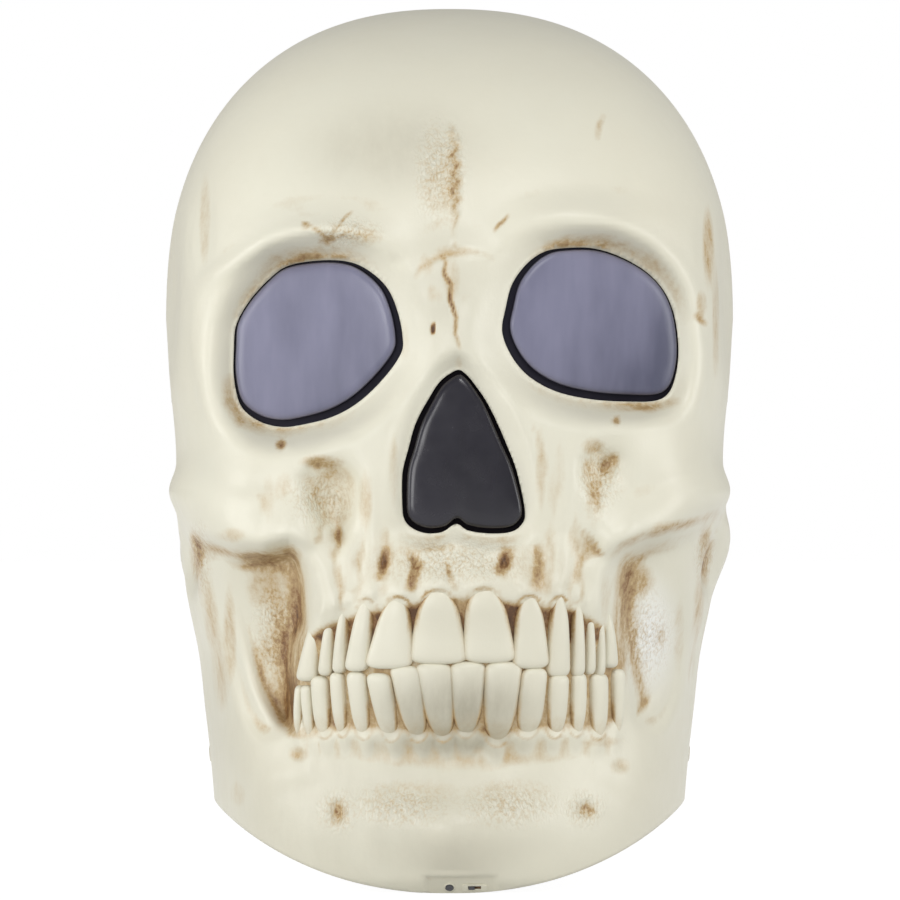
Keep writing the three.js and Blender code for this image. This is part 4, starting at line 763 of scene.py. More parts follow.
def point_out(obj):
    """Makes every face of a closed shape point outwards."""
    select_only(obj)
    bpy.ops.object.mode_set(mode="EDIT")
    bpy.ops.mesh.select_all(action="SELECT")
    bpy.ops.mesh.normals_make_consistent(inside=False)
    bpy.ops.object.mode_set(mode="OBJECT")


def select_faces(obj, chosen):
    """Selects faces of the active object in edit mode's face mode, by a mask."""
    mesh = obj.data
    mesh.vertices.foreach_set("select", np.zeros(len(mesh.vertices), bool))
    mesh.edges.foreach_set("select", np.zeros(len(mesh.edges), bool))
    mesh.polygons.foreach_set("select", np.asarray(chosen, bool))
    bpy.ops.object.mode_set(mode="EDIT")
    bpy.ops.mesh.select_mode(type="FACE")


# %% The sheet
# rows over the dome, the wall and the underside, and how far the columns crowd to the middle
SHEETS = {
    "skull_front": {"columns": 190, "rows": (90, 150, 10), "turn": (-0.5, 0.5), "crowding": 0.28},
    "skull_rear": {"columns": 110, "rows": (60, 80, 8), "turn": (0.5, 1.5), "crowding": 0.0},
}
SEAM = 0.6 * MM  # half the groove between the halves
# where the sheet is made finer: how near to an outline or a crack, and how deep in the rest
FINE = {"window": 6 * MM, "groove": 7 * MM, "gum": 0.3, "root": 1.5 * MM, "dimple": 0.1,
        "boss": 0.01, "ahead": -0.1}


def sheet_place(flat, sheet):
    """The angle and the level of a point of the flat sheet, which is one unit wide and high."""
    share = 2 * (flat[..., 0] + 0.5) - 1
    share = share * (1 - sheet["crowding"] * (1 - share ** 2))
    low, high = sheet["turn"]
    angle = np.pi * mix(low, high, (share + 1) / 2)
    dome, wall, under = sheet["rows"]
    row = (0.5 - flat[..., 1]) * (dome + wall + under)
    level = np.where(row < dome, row / dome, 1 + (row - dome) / wall)
    level = np.where(row > dome + wall, 2 + (row - dome - wall) / under, level)
    return angle, level


def near_fine_work(place):
    across, up = place[:, 0], place[:, 2]
    near = np.zeros(len(place), bool)
    for window in windows.values():
        near |= np.abs(window.outside(across, up) - WINDOW["gap"]) < FINE["window"]
    for pixels, _, _ in FINE_GROOVES:
        near |= line_distance(across, up, from_photo(pixels))[0] < FINE["groove"]
    near |= (mouth(across, up) > FINE["gum"]) | (roots(across, up) > FINE["root"])
    for pixel, half_width, half_height, _ in DIMPLES:
        near |= dimple(across, up, pixel, half_width * MM, half_height * MM) > FINE["dimple"]
    near |= np.hypot((across - CHIN_FLAT["across"]) / CHIN_FINE[0], up / CHIN_FINE[1]) < 1
    near &= place[:, 1] < FINE["ahead"]
    return near | (boss_share(place[:, 1], up) > FINE["boss"])


def wrapped_sheet(name, refine):
    sheet = SHEETS[name]
    bpy.ops.mesh.primitive_grid_add(
        x_subdivisions=sheet["columns"], y_subdivisions=sum(sheet["rows"]), size=1)
    obj = bpy.context.object
    obj.name = obj.data.name = name
    if refine:
        middles = face_middles(obj.data)
        select_only(obj)
        select_faces(obj, near_fine_work(skin(*sheet_place(middles, sheet))))
        bpy.ops.mesh.subdivide(number_cuts=1, ngon=False)
        bpy.ops.object.mode_set(mode="OBJECT")
    place = skin(*sheet_place(points_of(obj.data), sheet))
    side = 1 if sheet["turn"][0] > 0 else -1
    place[:, 1] = side * np.maximum(place[:, 1] * side, SEAM)
    set_points(obj.data, place)
    return obj


front = wrapped_sheet("skull_front", True)
rear = wrapped_sheet("skull_rear", False)
print("front", len(front.data.polygons), "rear", len(rear.data.polygons), "faces")

# %% [markdown]
# ## Trimming the openings
# A worker cuts each window out along its line, and the cut shows how thick the wall is. The
# same is done here: the faces inside each outline are deleted, the torn edge is drawn onto the
# outline, and the edge is then extruded into the head.

# %% Trimming
ON_LINE = 0.6 * MM  # a point this near to an outline lies on it


def delete_faces(obj, chosen):
    select_only(obj)
    select_faces(obj, chosen)
    bpy.ops.mesh.delete(type="FACE")
    bpy.ops.object.mode_set(mode="OBJECT")


def open_edges_of(mesh):
    """Which edges have a face on one side only."""
    used = read_rows(mesh.loops, "edge_index", 1, int).ravel()
    return np.bincount(used, minlength=len(mesh.edges)) == 1


def on_border(mesh):
    """Which points lie on open edges."""
    chosen = np.zeros(len(mesh.vertices), bool)
    chosen[edges_of(mesh)[open_edges_of(mesh)].ravel()] = True
    return chosen


def trim_window(obj, window):
    middles = face_middles(obj.data)
    outside = window.outside(middles[:, 0], middles[:, 2])
    delete_faces(obj, (outside < WINDOW["gap"]) & (middles[:, 1] < FACE_AHEAD))
    places = points_of(obj.data)
    outside = window.outside(places[:, 0], places[:, 2])
    moved = on_border(obj.data) & (places[:, 1] < FACE_AHEAD)
    moved &= outside < WINDOW["gap"] + WINDOW["reach"]
    away = places[moved][:, [0, 2]] - window.middle
    length = np.hypot(*away.T)
    wanted = length - outside[moved] + WINDOW["gap"]
    new = window.middle + away * (wanted / length)[:, None]
    places[moved, 0], places[moved, 2] = new[:, 0], new[:, 1]
    places[moved, 1] = window.seat(new[:, 0], new[:, 1])
    set_points(obj.data, places)


def extrude_border(obj, chosen_points, shift):
    """Extrudes the open edges whose points are chosen."""
    mesh = obj.data
    chosen = chosen_points[edges_of(mesh)].all(axis=1) & open_edges_of(mesh)
    select_only(obj)
    bpy.ops.object.mode_set(mode="EDIT")
    bpy.ops.mesh.select_mode(type="EDGE")
    bpy.ops.mesh.select_all(action="DESELECT")
    bpy.ops.object.mode_set(mode="OBJECT")
    mesh.edges.foreach_set("select", chosen)
    bpy.ops.object.mode_set(mode="EDIT")
    bpy.ops.mesh.extrude_region_move(TRANSFORM_OT_translate={"value": shift})
    bpy.ops.object.mode_set(mode="OBJECT")


for window in windows.values():
    trim_window(front, window)
    places = points_of(front.data)
    outside = window.outside(places[:, 0], places[:, 2])
    near = (np.abs(outside - WINDOW["gap"]) < ON_LINE) & (places[:, 1] < FACE_AHEAD)
    extrude_border(front, near, (0, 1.5 * WALL, 0))
print("front after trimming", len(front.data.polygons), "faces")

# %% [markdown]
# ## The pocket of the battery door
# On the real head the door drops into a shallow pocket, whose ledge holds the tray from
# outside. The same two steps make it: the faces inside a rectangle are deleted, and the cut
# edge is extruded down to the ledge and then inwards along it.

# %% The pocket's walls
POCKET = {"half": 64.6 * MM, "middle": 249.55 * MM, "half_height": 52.65 * MM,
          "depth": 8.2 * MM, "ledge": 7 * MM, "corner": 6 * MM}
PAD_BEHIND = 0.2  # the pad lies behind this depth
BY_POCKET = (0.09, 0.08)  # half-width and half-height of the region that the cut can reach


def trim_pocket(obj):
    middles = face_middles(obj.data)
    inside = (np.abs(middles[:, 0]) < POCKET["half"]) & (middles[:, 1] > PAD_BEHIND)
    inside &= np.abs(middles[:, 2] - POCKET["middle"]) < POCKET["half_height"]
    delete_faces(obj, inside)
    places = points_of(obj.data)
    near = on_border(obj.data) & (places[:, 1] > PAD_BEHIND)
    near &= np.abs(places[:, 0]) < BY_POCKET[0]
    near &= np.abs(places[:, 2] - PAD["up"]) < BY_POCKET[1]
    across, up = places[near, 0], places[near, 2] - POCKET["middle"]
    beside, above = POCKET["half"] - np.abs(across), POCKET["half_height"] - np.abs(up)
    corner = (beside < POCKET["corner"]) & (above < POCKET["corner"])
    across = np.where((beside < above) | corner, np.sign(across) * POCKET["half"], across)
    up = np.where((beside >= above) | corner, np.sign(up) * POCKET["half_height"], up)
    places[near, 0], places[near, 2] = across, POCKET["middle"] + up
    places[near, 1] = PAD["out"]
    set_points(obj.data, places)
    return near


extrude_border(rear, trim_pocket(rear), (0, -POCKET["depth"], 0))

# %% The pocket's ledge
tray_low, tray_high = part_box("battery_tray")
tray_middle, tray_half = (tray_low + tray_high) / 2, (tray_high - tray_low) / 2


def ledge_points(obj):
    floor = PAD["out"] - POCKET["depth"]
    return on_border(obj.data) & (np.abs(points_of(obj.data)[:, 1] - floor) < 0.1 * MM)


extrude_border(rear, ledge_points(rear), (0, 0, 0))
near, places = ledge_points(rear), points_of(rear.data)
for axis in (0, 2):
    reach = tray_half[axis] - POCKET["ledge"]
    middle = tray_middle[axis]
    places[near, axis] = np.clip(places[near, axis], middle - reach, middle + reach)
set_points(rear.data, places)
print("pocket", near.sum(), "points round the ledge")

# %% [markdown]
# ## The seam
# The halves meet in a fine groove. The edge of the face half turns in by its wall, and the
# back half carries a tongue that slides inside it, so that no light shows through the seam.
# Both are the open edge, extruded twice: inwards, and then along the head.

# %% The groove between the halves
TONGUE = 14 * MM
PLAY = 0.5 * MM  # between the face half and the tongue


def seam_points(obj):
    return on_border(obj.data) & (np.abs(points_of(obj.data)[:, 1]) < SEAM * 1.5)


def fold_in_seam(obj, distance):
    extrude_border(obj, seam_points(obj), (0, 0, 0))
    near = seam_points(obj)
    places = points_of(obj.data)
    inwards = np.array([0, 0, HEIGHT / 2]) - places[near]
    inwards[:, 1] = 0
    places[near] += inwards / np.linalg.norm(inwards, axis=1)[:, None] * distance
    set_points(obj.data, places)


fold_in_seam(front, WALL)
extrude_border(front, seam_points(front), (0, -2 * TONGUE, 0))
fold_in_seam(rear, WALL + PLAY)
extrude_border(rear, seam_points(rear), (0, -TONGUE, 0))

# %% [markdown]
# At the crown all columns of the sheet end in one place, so their points are merged there.
# Recalculating the normals makes all faces agree, and as an open shell has no sure inside, the
# sum of the normals along the line from the middle tells whether to turn them all round.

# %% Welding the crown and pointing every face outwards
def weld(obj):
    select_only(obj)
    bpy.ops.object.mode_set(mode="EDIT")
    bpy.ops.mesh.select_all(action="SELECT")
    bpy.ops.mesh.remove_doubles(threshold=0.02 * MM)
    bpy.ops.object.mode_set(mode="OBJECT")
    point_out(obj)
    bpy.ops.object.shade_smooth()
    normals = read_rows(obj.data.polygons, "normal", 3)
    from_middle = face_middles(obj.data) - np.array([0, 0, HEIGHT / 2])
    if (normals * from_middle).sum() < 0:
        obj.data.flip_normals()


for obj in (front, rear):
    weld(obj)
    print(obj.name, "welded,", len(obj.data.vertices), "points")

# %% [markdown]
# ## The brown wash
# The painter brushes thin brown paint on and wipes it off again, so that it stays wherever
# the form is hollow. The same can be measured: a place that lies below the average of its
# neighbours is hollow. A few stains that the painter added by hand are drawn over that. Along
# the lower edges of the cheekbones and the tops of the eyes, the stains and lines are partly
# wash and partly painted shadow under the overhang. The cut walls of the windows and the
# switch slot are painted shade.

# %% Stains, and painted shadow under the cheekbones
# pixel, half-width and half-height in millimetres, strength
STAINS_AND_SHADOWS = [
    ((282, 622), 22, 34, 0.14), ((290, 690), 13, 56, 0.62), ((299, 630), 12, 60, 0.42),
    ((296, 585), 12, 26, 0.25), ((636, 582), 28, 24, 0.34), ((621, 640), 12, 74, 0.42),
    ((664, 640), 8, 14, 0.16), ((606, 600), 8, 40, 0.14), ((322, 462), 30, 9, 0.40),
    ((284, 486), 12, 20, 0.20), ((337, 538), 13, 14, 0.20), ((366, 500), 8, 46, 0.24),
    ((592, 446), 16, 12, 0.30), ((606, 466), 12, 18, 0.18), ((594, 500), 12, 46, 0.12),
    ((327, 241), 12, 6, 0.36), ((366, 238), 24, 10, 0.26), ((306, 226), 7, 6, 0.3),
    ((202, 216), 9, 64, 0.18), ((712, 246), 9, 56, 0.32), ((720, 320), 6, 80, 0.22),
    ((704, 304), 9, 20, 0.30), ((452, 176), 14, 60, 0.12), ((436, 190), 24, 30, 0.10),
    ((455, 252), 30, 9, 0.16), ((452, 280), 12, 30, 0.18), ((426, 266), 12, 16, 0.14),
    ((190, 556), 12, 32, 0.45), ((206, 620), 10, 44, 0.18), ((216, 690), 8, 50, 0.12),
    ((706, 618), 8, 50, 0.24), ((711, 548), 11, 32, 0.36), ((699, 680), 8, 34, 0.16),
    ((404, 340), 9, 34, 0.12), ((430, 548), 44, 6, 0.16), ((338, 814), 12, 17, 0.26),
    ((588, 812), 15, 11, 0.26), ((298, 756), 15, 11, 0.22), ((622, 769), 15, 13, 0.20),
    ((234, 800), 13, 20, 0.14), ((281, 445), 8, 8, 0.5), ((617, 421), 6, 6, 0.4),
    ((433, 330), 4, 8, 0.5), ((560, 470), 10, 50, 0.08), ((268, 500), 10, 40, 0.10),
    ((394, 470), 7, 54, 0.18), ((541, 470), 7, 60, 0.18), ((380, 560), 60, 50, 0.06),
    ((540, 570), 60, 50, 0.06), ((420, 790), 60, 20, 0.05), ((510, 790), 60, 20, 0.05),
    ((300, 735), 24, 9, 0.26), ((604, 744), 34, 7, 0.14), ((262, 592), 26, 26, 0.30),
    # partly wash, partly painted shadow under the cheekbones: (230, 536), (255, 560) and (670, 527)
    ((270, 650), 20, 40, 0.16), ((226, 640), 9, 70, 0.28), ((230, 536), 22, 11, 0.20),
    ((255, 560), 26, 11, 0.26), ((290, 704), 12, 40, 0.36), ((684, 640), 8, 60, 0.12),
    ((670, 527), 30, 9, 0.14),
]
print(len(STAINS_AND_SHADOWS), "stains")

# %% Lines of wash, and of painted shadow under the cheekbones and brows
WASH_AND_SHADOW_LINES = [  # pixels, half-width, strength
    (GROOVES[0][0], 7, 0.24), (GROOVES[1][0], 4, 0.70), (GROOVES[2][0], 6, 0.26),
    (GROOVES[3][0], 3.5, 0.45), (GROOVES[4][0], 3, 0.45), (GROOVES[5][0], 4, 0.42),
    (GROOVES[7][0], 6, 0.5), (GROOVES[9][0], 3, 0.7), (GROOVES[10][0], 14, 0.18),
    (GROOVES[11][0], 12, 0.20), (GROOVES[6][0], 6, 0.22),
    # the next two lines run under the cheekbones: partly wash, partly painted shadow under the
    # overhang
    ([(186, 540), (210, 550), (240, 557), (264, 556), (288, 549), (306, 558)], 8, 0.42),
    ([(728, 512), (700, 522), (670, 529), (644, 536), (622, 546), (608, 562)], 7, 0.38),
    ([(226, 372), (228, 402), (240, 420), (266, 430)], 11, 0.40),
    # the next two lines run along the tops of the eyes: partly wash, partly painted shade under the
    # brows
    ([(234, 324), (244, 302), (268, 276), (302, 258), (340, 252), (376, 262)], 10, 0.14),
    ([(526, 262), (556, 245), (600, 240), (636, 250)], 9, 0.30),
    ([(620, 246), (652, 260), (678, 288), (690, 330)], 14, 0.13),
    ([(604, 404), (650, 408), (686, 400)], 7, 0.24),
    ([(388, 544), (385, 560), (380, 582)], 9, 0.80), ([(411, 550), (417, 566), (409, 592)], 9, 0.75),
    ([(445, 560), (450, 576), (457, 592)], 6, 0.42), ([(509, 546), (504, 562), (498, 576)], 11, 0.85),
    ([(536, 543), (541, 560), (535, 592)], 11, 0.58),
]
GUM_LINE = {"half_width": 2.6 * MM, "upper": 0.5, "lower": 0.3, "smallest": 6}


def gum_lines(table, way):
    """The arcs of gum round the ends of all but the smallest crowns, as lines of pixels."""
    arcs = []
    for gum_x, gum_y, half, _, _, _ in table:
        if half >= GUM_LINE["smallest"]:
            turns = np.radians(np.linspace(15, 165, 9))
            across = gum_x + np.cos(turns) * (half * 0.95 + 2)
            arcs.append(np.stack([across, gum_y + way * (6 - 17 * np.sin(turns))], axis=1))
    return arcs


# %% Where the wash is wiped off, clings or is hidden
# pixel, half-width and half-height in millimetres, and how cleanly the place was wiped
WIPED = [
    ((335, 498), 36, 44, 0.75), ((666, 640), 34, 92, 1.0), ((662, 566), 34, 20, 0.9),
    ((460, 886), 60, 16, 0.9), ((640, 252), 44, 20, 0.6), ((330, 206), 50, 14, 1.0),
    ((570, 190), 60, 14, 1.0), ((590, 500), 20, 40, 0.4), ((455, 800), 120, 30, 0.5),
    ((455, 748), 130, 16, 0.4),
]
LEATHER = [  # where the surface is wrinkled, and the wash clings to it
    ((272, 620), 36, 44), ((320, 500), 50, 44), ((650, 640), 40, 74), ((600, 480), 34, 50),
    ((400, 805), 80, 34), ((510, 805), 80, 34), ((338, 812), 34, 34), ((585, 810), 34, 30),
    ((440, 170), 40, 80), ((350, 232), 50, 22), ((710, 560), 20, 40), ((196, 560), 20, 60),
    ((455, 562), 110, 34), ((270, 650), 30, 60),
]
# a grey film over the paint, or below 0 a painted highlight that makes the paint nearly white
FILM_AND_PAINTED_LIGHT = [
    ((458, 706), 120, 52, 0.9), ((455, 748), 130, 26, 0.5), ((392, 150), 130, 70, 0.35),
    # the entry at (215, 720), on the left side of the jaw, is painted shade
    ((440, 300), 60, 100, 0.26), ((370, 815), 260, 120, 0.32), ((215, 720), 50, 110, 0.18),
    # painted highlight: the right cheek's hollow turns nearly white
    ((654, 640), 36, 84, -0.8),
]

# %% Measuring hollows
# rounds of averaging, where the wash starts, over what depth it fills, and its strength
HOLLOWS = ((12, 0.2 * MM, 1.6 * MM, 0.42), (120, 1 * MM, 8 * MM, 0.14))


def neighbour_average(values, edges, rounds):
    count = np.bincount(edges.ravel(), minlength=len(values))[:, None].clip(1)
    for _ in range(rounds):
        total = np.zeros_like(values)
        for column in range(values.shape[1]):
            total[:, column] = np.bincount(
                edges[:, 0], values[edges[:, 1], column], minlength=len(values))
            total[:, column] += np.bincount(
                edges[:, 1], values[edges[:, 0], column], minlength=len(values))
        values = (values + total / count) / 2
    return values


def hollowness(obj, rounds):
    """How far below the average of its neighbours each point lies."""
    places = points_of(obj.data)
    normals = read_rows(obj.data.vertices, "normal", 3)
    averaged = neighbour_average(places, edges_of(obj.data), rounds)
    return ((averaged - places) * normals).sum(axis=1)


# %% [markdown]
# The painter works on the face and leaves the back nearly plain. What was measured and drawn
# is kept as three attributes of the mesh, one for each layer of paint, and the finish reads
# them later. An attribute moves with the surface, so nothing has to be placed again.

# %% Adding up the wash
BACK_SHARE = 0.15  # of the face's wash
FULL_WASH = 1.3
HEART = 1.6  # a stain's middle is filled evenly up to where its dimple falls to 1 / this
MOUTH_WASH = (0.5, 1.25)  # below and above the line where the teeth meet
BITE_LINE = (0.2468, 0.2568)


def spot(across, up, pixel, half_width, half_height):
    return np.minimum(HEART * dimple(across, up, pixel, half_width * MM, half_height * MM), 1)


def keep_mask(obj, name, values):
    attribute = obj.data.attributes.new(name, "FLOAT", "POINT")
    attribute.data.foreach_set("value", np.ascontiguousarray(values, np.float32))


def hollow_wash(obj):
    wash_and_shade = np.zeros(len(obj.data.vertices))
    for rounds, start, span, strength in HOLLOWS:
        wash_and_shade += strength * np.clip((hollowness(obj, rounds) - start) / span, 0, 1)
    return wash_and_shade


def painted_wash_and_shadow(across, up):
    """Stains and lines on the face: wash, and painted shadow under cheekbones and brows."""
    wash_and_shade = np.zeros_like(across)
    for *place, strength in STAINS_AND_SHADOWS:
        wash_and_shade += strength * spot(across, up, *place)
    for pixels, half_width, strength in WASH_AND_SHADOW_LINES:
        wash_and_shade += strength * stroke(across, up, pixels, half_width * MM)
    for table, way, strength in ((UPPER_TEETH, 1, GUM_LINE["upper"]),
                                 (LOWER_TEETH, -1, GUM_LINE["lower"])):
        for arc in gum_lines(table, way):
            wash_and_shade += strength * stroke(across, up, arc, GUM_LINE["half_width"])
    return wash_and_shade + mouth(across, up) ** 1.5 * mix(*MOUTH_WASH, ramp(*BITE_LINE, up))


def wash_and_shade_of(obj):
    wash_and_shade = hollow_wash(obj)
    if obj is rear:
        return wash_and_shade * BACK_SHARE
    places = points_of(obj.data)
    across, up = places[:, 0], places[:, 2]
    ahead = 1 - ramp(-0.16, -0.03, places[:, 1])
    for *place, clean in WIPED:
        wash_and_shade *= 1 - ahead * clean * spot(across, up, *place)
    wash_and_shade += ahead * painted_wash_and_shadow(across, up)
    # painted shade: the skin inside the switch slot gets the full wash and turns dark
    wash_and_shade += FULL_WASH * in_switch_slot(places)
    # painted shade: the cut walls of each window, down in the gap round its panel, get the full wash
    # and turn dark
    for window in windows.values():
        behind = places[:, 1] - window.seat(across, up)
        cut = window.outside(across, up) < WINDOW["gap"] + ON_LINE
        wash_and_shade += FULL_WASH * ramp(1 * MM, 5 * MM, behind) * cut
    return np.clip(wash_and_shade, 0, FULL_WASH)


def leather_of(obj):
    places = points_of(obj.data)
    leather = np.zeros(len(places))
    if obj is front:
        for pixel, half_width, half_height in LEATHER:
            worn = dimple(places[:, 0], places[:, 2], pixel, half_width * MM, half_height * MM)
            leather = np.maximum(leather, worn * (places[:, 1] < -0.02))
    return leather


def film_and_painted_light_of(places):
    film_and_painted_light = np.zeros(len(places))
    for pixel, half_width, half_height, strength in FILM_AND_PAINTED_LIGHT:
        spread = dimple(places[:, 0], places[:, 2], pixel, half_width * MM, half_height * MM)
        film_and_painted_light += strength * spread
    return np.clip(film_and_painted_light, -1, 1) * (places[:, 1] < 0)


for obj in (front, rear):
    wash_and_shade = wash_and_shade_of(obj)
    keep_mask(obj, "wash_and_shade", wash_and_shade)
    keep_mask(obj, "leather", leather_of(obj))
    keep_mask(obj, "film_and_painted_light", film_and_painted_light_of(points_of(obj.data)))
    print(obj.name, "mean wash", wash_and_shade.mean().round(3))

# %% [markdown]
# ## Finishes
# Every finish here is procedural: it is built of noise that is read at the surface's own place,
# so it needs no picture. A few short helpers keep the nodes readable.

# %% Node helpers
MIX_ONE, MIX_OTHER, MIX_RESULT = 6, 7, 2  # the colour sockets of a Mix node


class Nodes:
    """A short way to place nodes in a tree and join them."""

    def __init__(self, tree):
        self.tree = tree

    def feed(self, socket, value):
        """Joins a socket to an output, or sets its value."""
        if isinstance(value, bpy.types.NodeSocket):
            self.tree.links.new(value, socket)
        else:
            socket.default_value = value

    def add(self, kind, inputs=None, **settings):
        node = self.tree.nodes.new(kind)
        for key, value in settings.items():
            setattr(node, key, value)
        for key, value in (inputs or {}).items():
            self.feed(node.inputs[key], value)
        return node

    def math(self, operation, *values):
        return self.add("ShaderNodeMath", dict(enumerate(values)), operation=operation).outputs[0]

    def times(self, one, other):
        return self.math("MULTIPLY", one, other)

    def plus(self, one, other):
        return self.math("ADD", one, other)

    def minus(self, one, other):
        return self.math("SUBTRACT", one, other)

    def ramp(self, value, low, high, start=0.0, end=1.0):
        inputs = {"Value": value, "From Min": low, "From Max": high, "To Min": start, "To Max": end}
        return self.add("ShaderNodeMapRange", inputs).outputs[0]

    def blend(self, share, one, other):
        inputs = {"Factor": share, MIX_ONE: one, MIX_OTHER: other}
        return self.add("ShaderNodeMix", inputs, data_type="RGBA").outputs[MIX_RESULT]

    def place(self):
        return self.add("ShaderNodeTexCoord").outputs["Object"]

    def mask(self, name):
        return self.add("ShaderNodeAttribute", attribute_name=name).outputs["Fac"]

    def stretched(self, place, scale):
        return self.add("ShaderNodeMapping", {"Vector": place, "Scale": scale}).outputs[0]

    def noise(self, place, scale, detail, roughness=0.5):
        inputs = {"Vector": place, "Scale": scale, "Detail": detail, "Roughness": roughness}
        return self.add("ShaderNodeTexNoise", inputs).outputs["Fac"]

    def group(self, tree, **inputs):
        return self.add("ShaderNodeGroup", inputs, node_tree=tree).outputs[0]

    def bump(self, height, strength, distance):
        inputs = {"Height": height, "Strength": strength, "Distance": distance}
        return self.add("ShaderNodeBump", inputs).outputs[0]


def material(name):
    made = bpy.data.materials.new(name)
    made.use_nodes = True
    made.node_tree.nodes.clear()
    nodes = Nodes(made.node_tree)
    shader = nodes.add("ShaderNodeBsdfPrincipled")
    nodes.add("ShaderNodeOutputMaterial", {"Surface": shader.outputs[0]})
    return made, nodes, shader


def linear(red, green, blue):
    """A colour read off a screen, as the light that it stands for."""
    def one(value):
        value /= 255
        return value / 12.92 if value <= 0.04045 else ((value + 0.055) / 1.055) ** 2.4
    return (one(red), one(green), one(blue), 1.0)


# %% [markdown]
# One effect serves every finish: soft mottling, because no moulding, paint or plate has quite
# the same colour all over. It is a shader group that is built once. Its sockets set how broad
# and how strong the mottling is in each finish.

# %% Mottling
def mottle_group():
    tree = bpy.data.node_groups.new("mottle", "ShaderNodeTree")
    for title, kind in (("Vector", "Vector"), ("Scale", "Float"), ("Contrast", "Float")):
        tree.interface.new_socket(title, in_out="INPUT", socket_type=f"NodeSocket{kind}")
    tree.interface.new_socket("Value", in_out="OUTPUT", socket_type="NodeSocketFloat")
    nodes = Nodes(tree)
    given = nodes.add("NodeGroupInput").outputs
    broad = nodes.noise(given["Vector"], given["Scale"], 5.0, 0.6)
    reach = nodes.times(given["Contrast"], 0.35)
    value = nodes.ramp(broad, nodes.minus(0.5, reach), nodes.plus(0.5, reach))
    nodes.add("NodeGroupOutput", {"Value": value})
    return tree


mottle = mottle_group()

# %% [markdown]
# ## Bone
# The shell is sprayed cream, unevenly. A grey film lies over some of it, and the same grey is
# painted shade at the left side of the jaw. A painted highlight makes one cheek's hollow nearly
# white. The brown wash lies over all of it, as tan, brown and nearly black where it is thickest;
# it is partly painted shadow under the cheekbones and brows, and painted shade in the window
# walls and the switch slot. A brush's streaks, the rubbing and a fine pepper break it up.

# %% The shell's colours and patterns
BONE = {
    "cream": linear(228, 226, 209), "warm": linear(221, 213, 189), "grey": linear(206, 203, 188),
    # film greys the paint, and is painted shade at the left of the jaw; pale is a painted highlight
    "film_and_painted_light": linear(158, 152, 133), "pale": linear(250, 251, 248),
    "tan": linear(190, 165, 122), "brown": linear(134, 98, 58), "deep": linear(78, 48, 24),
}
# strength of the wash at which a colour starts and is full, and how much it covers
WASH_COLOURS = [("tan", 0.03, 0.42, 1.0), ("brown", 0.38, 0.85, 1.0), ("deep", 0.85, 1.3, 0.85)]
BRUSH_STROKE = (70.0, 70.0, 26.0)
CREASE_STRETCH = (250.0, 250.0, 120.0)


def bone_patterns(nodes):
    """The masks kept in the mesh and the patterns of the paint, by name."""
    place = nodes.place()
    brush = nodes.stretched(place, BRUSH_STROKE)
    creases = nodes.add("ShaderNodeTexVoronoi", {
        "Vector": nodes.stretched(place, CREASE_STRETCH), "Scale": 1.0, "Randomness": 1.0,
    }, feature="DISTANCE_TO_EDGE")
    return {
        "wash_and_shade": nodes.mask("wash_and_shade"),
        "leather": nodes.mask("leather"),
        "film_and_painted_light": nodes.mask("film_and_painted_light"),
        "tint": nodes.group(mottle, Vector=place, Scale=5.0, Contrast=1.0),
        "dust": nodes.group(mottle, Vector=place, Scale=11.0, Contrast=0.8),
        "streak": nodes.noise(brush, 1.0, 6.0, 0.65),
        "rubbed": nodes.noise(brush, 0.35, 5.0, 0.7),
        "pepper": nodes.noise(place, 210.0, 4.0, 0.7),
        "folds": nodes.noise(place, 95.0, 3.0, 0.6),
        "soft": nodes.noise(place, 34.0, 4.0),
        "crease": nodes.ramp(creases.outputs["Distance"], 0.0, 0.35, 1.0, 0.0),
    }


# %% The shell's paint and wash
def bone_paint(nodes, seen):
    paint = nodes.blend(nodes.times(seen["tint"], 0.5), BONE["cream"], BONE["warm"])
    paint = nodes.blend(nodes.times(seen["dust"], 0.18), paint, BONE["grey"])
    # painted highlight: where the mask is below 0 the paint turns nearly white
    paint = nodes.blend(nodes.ramp(seen["film_and_painted_light"], 0.0, -1.0), paint, BONE["pale"])
    # a grey film, and painted shade at the left side of the jaw
    greyed = nodes.times(seen["film_and_painted_light"], nodes.ramp(seen["rubbed"], 0.3, 0.7, 0.6, 1.1))
    paint = nodes.blend(greyed, paint, BONE["film_and_painted_light"])
    strength = nodes.times(seen["wash_and_shade"], nodes.ramp(seen["streak"], 0.34, 0.66, 0.6, 1.25))
    strength = nodes.times(strength, nodes.ramp(seen["rubbed"], 0.36, 0.62, 0.55, 1.25))
    strength = nodes.times(strength, nodes.ramp(seen["pepper"], 0.38, 0.62, 0.82, 1.2))
    clinging = nodes.times(seen["leather"], seen["crease"])
    clinging = nodes.times(clinging, nodes.ramp(seen["pepper"], 0.4, 0.6, 0.0, 0.30))
    strength = nodes.plus(strength, clinging)
    for colour, start, full, cover in WASH_COLOURS:
        paint = nodes.blend(nodes.ramp(strength, start, full, 0.0, cover), paint, BONE[colour])
    return paint


# %% The shell's fine relief, and its finish
def bone_relief(nodes, seen):
    """Grain and soft waves everywhere, streaks in the wash, creases and folds in leather."""
    height = nodes.plus(nodes.times(seen["pepper"], 0.25), nodes.times(seen["soft"], 0.5))
    brushed = nodes.ramp(seen["wash_and_shade"], 0.1, 0.6, 0.1, 1.0)
    height = nodes.plus(height, nodes.times(seen["streak"], brushed))
    height = nodes.minus(height, nodes.times(seen["crease"], nodes.times(seen["leather"], 0.9)))
    height = nodes.plus(height, nodes.times(seen["folds"], nodes.times(seen["leather"], 3.0)))
    height = nodes.plus(height, nodes.times(seen["tint"], 1.6))
    return nodes.bump(height, 0.6, 0.0012)


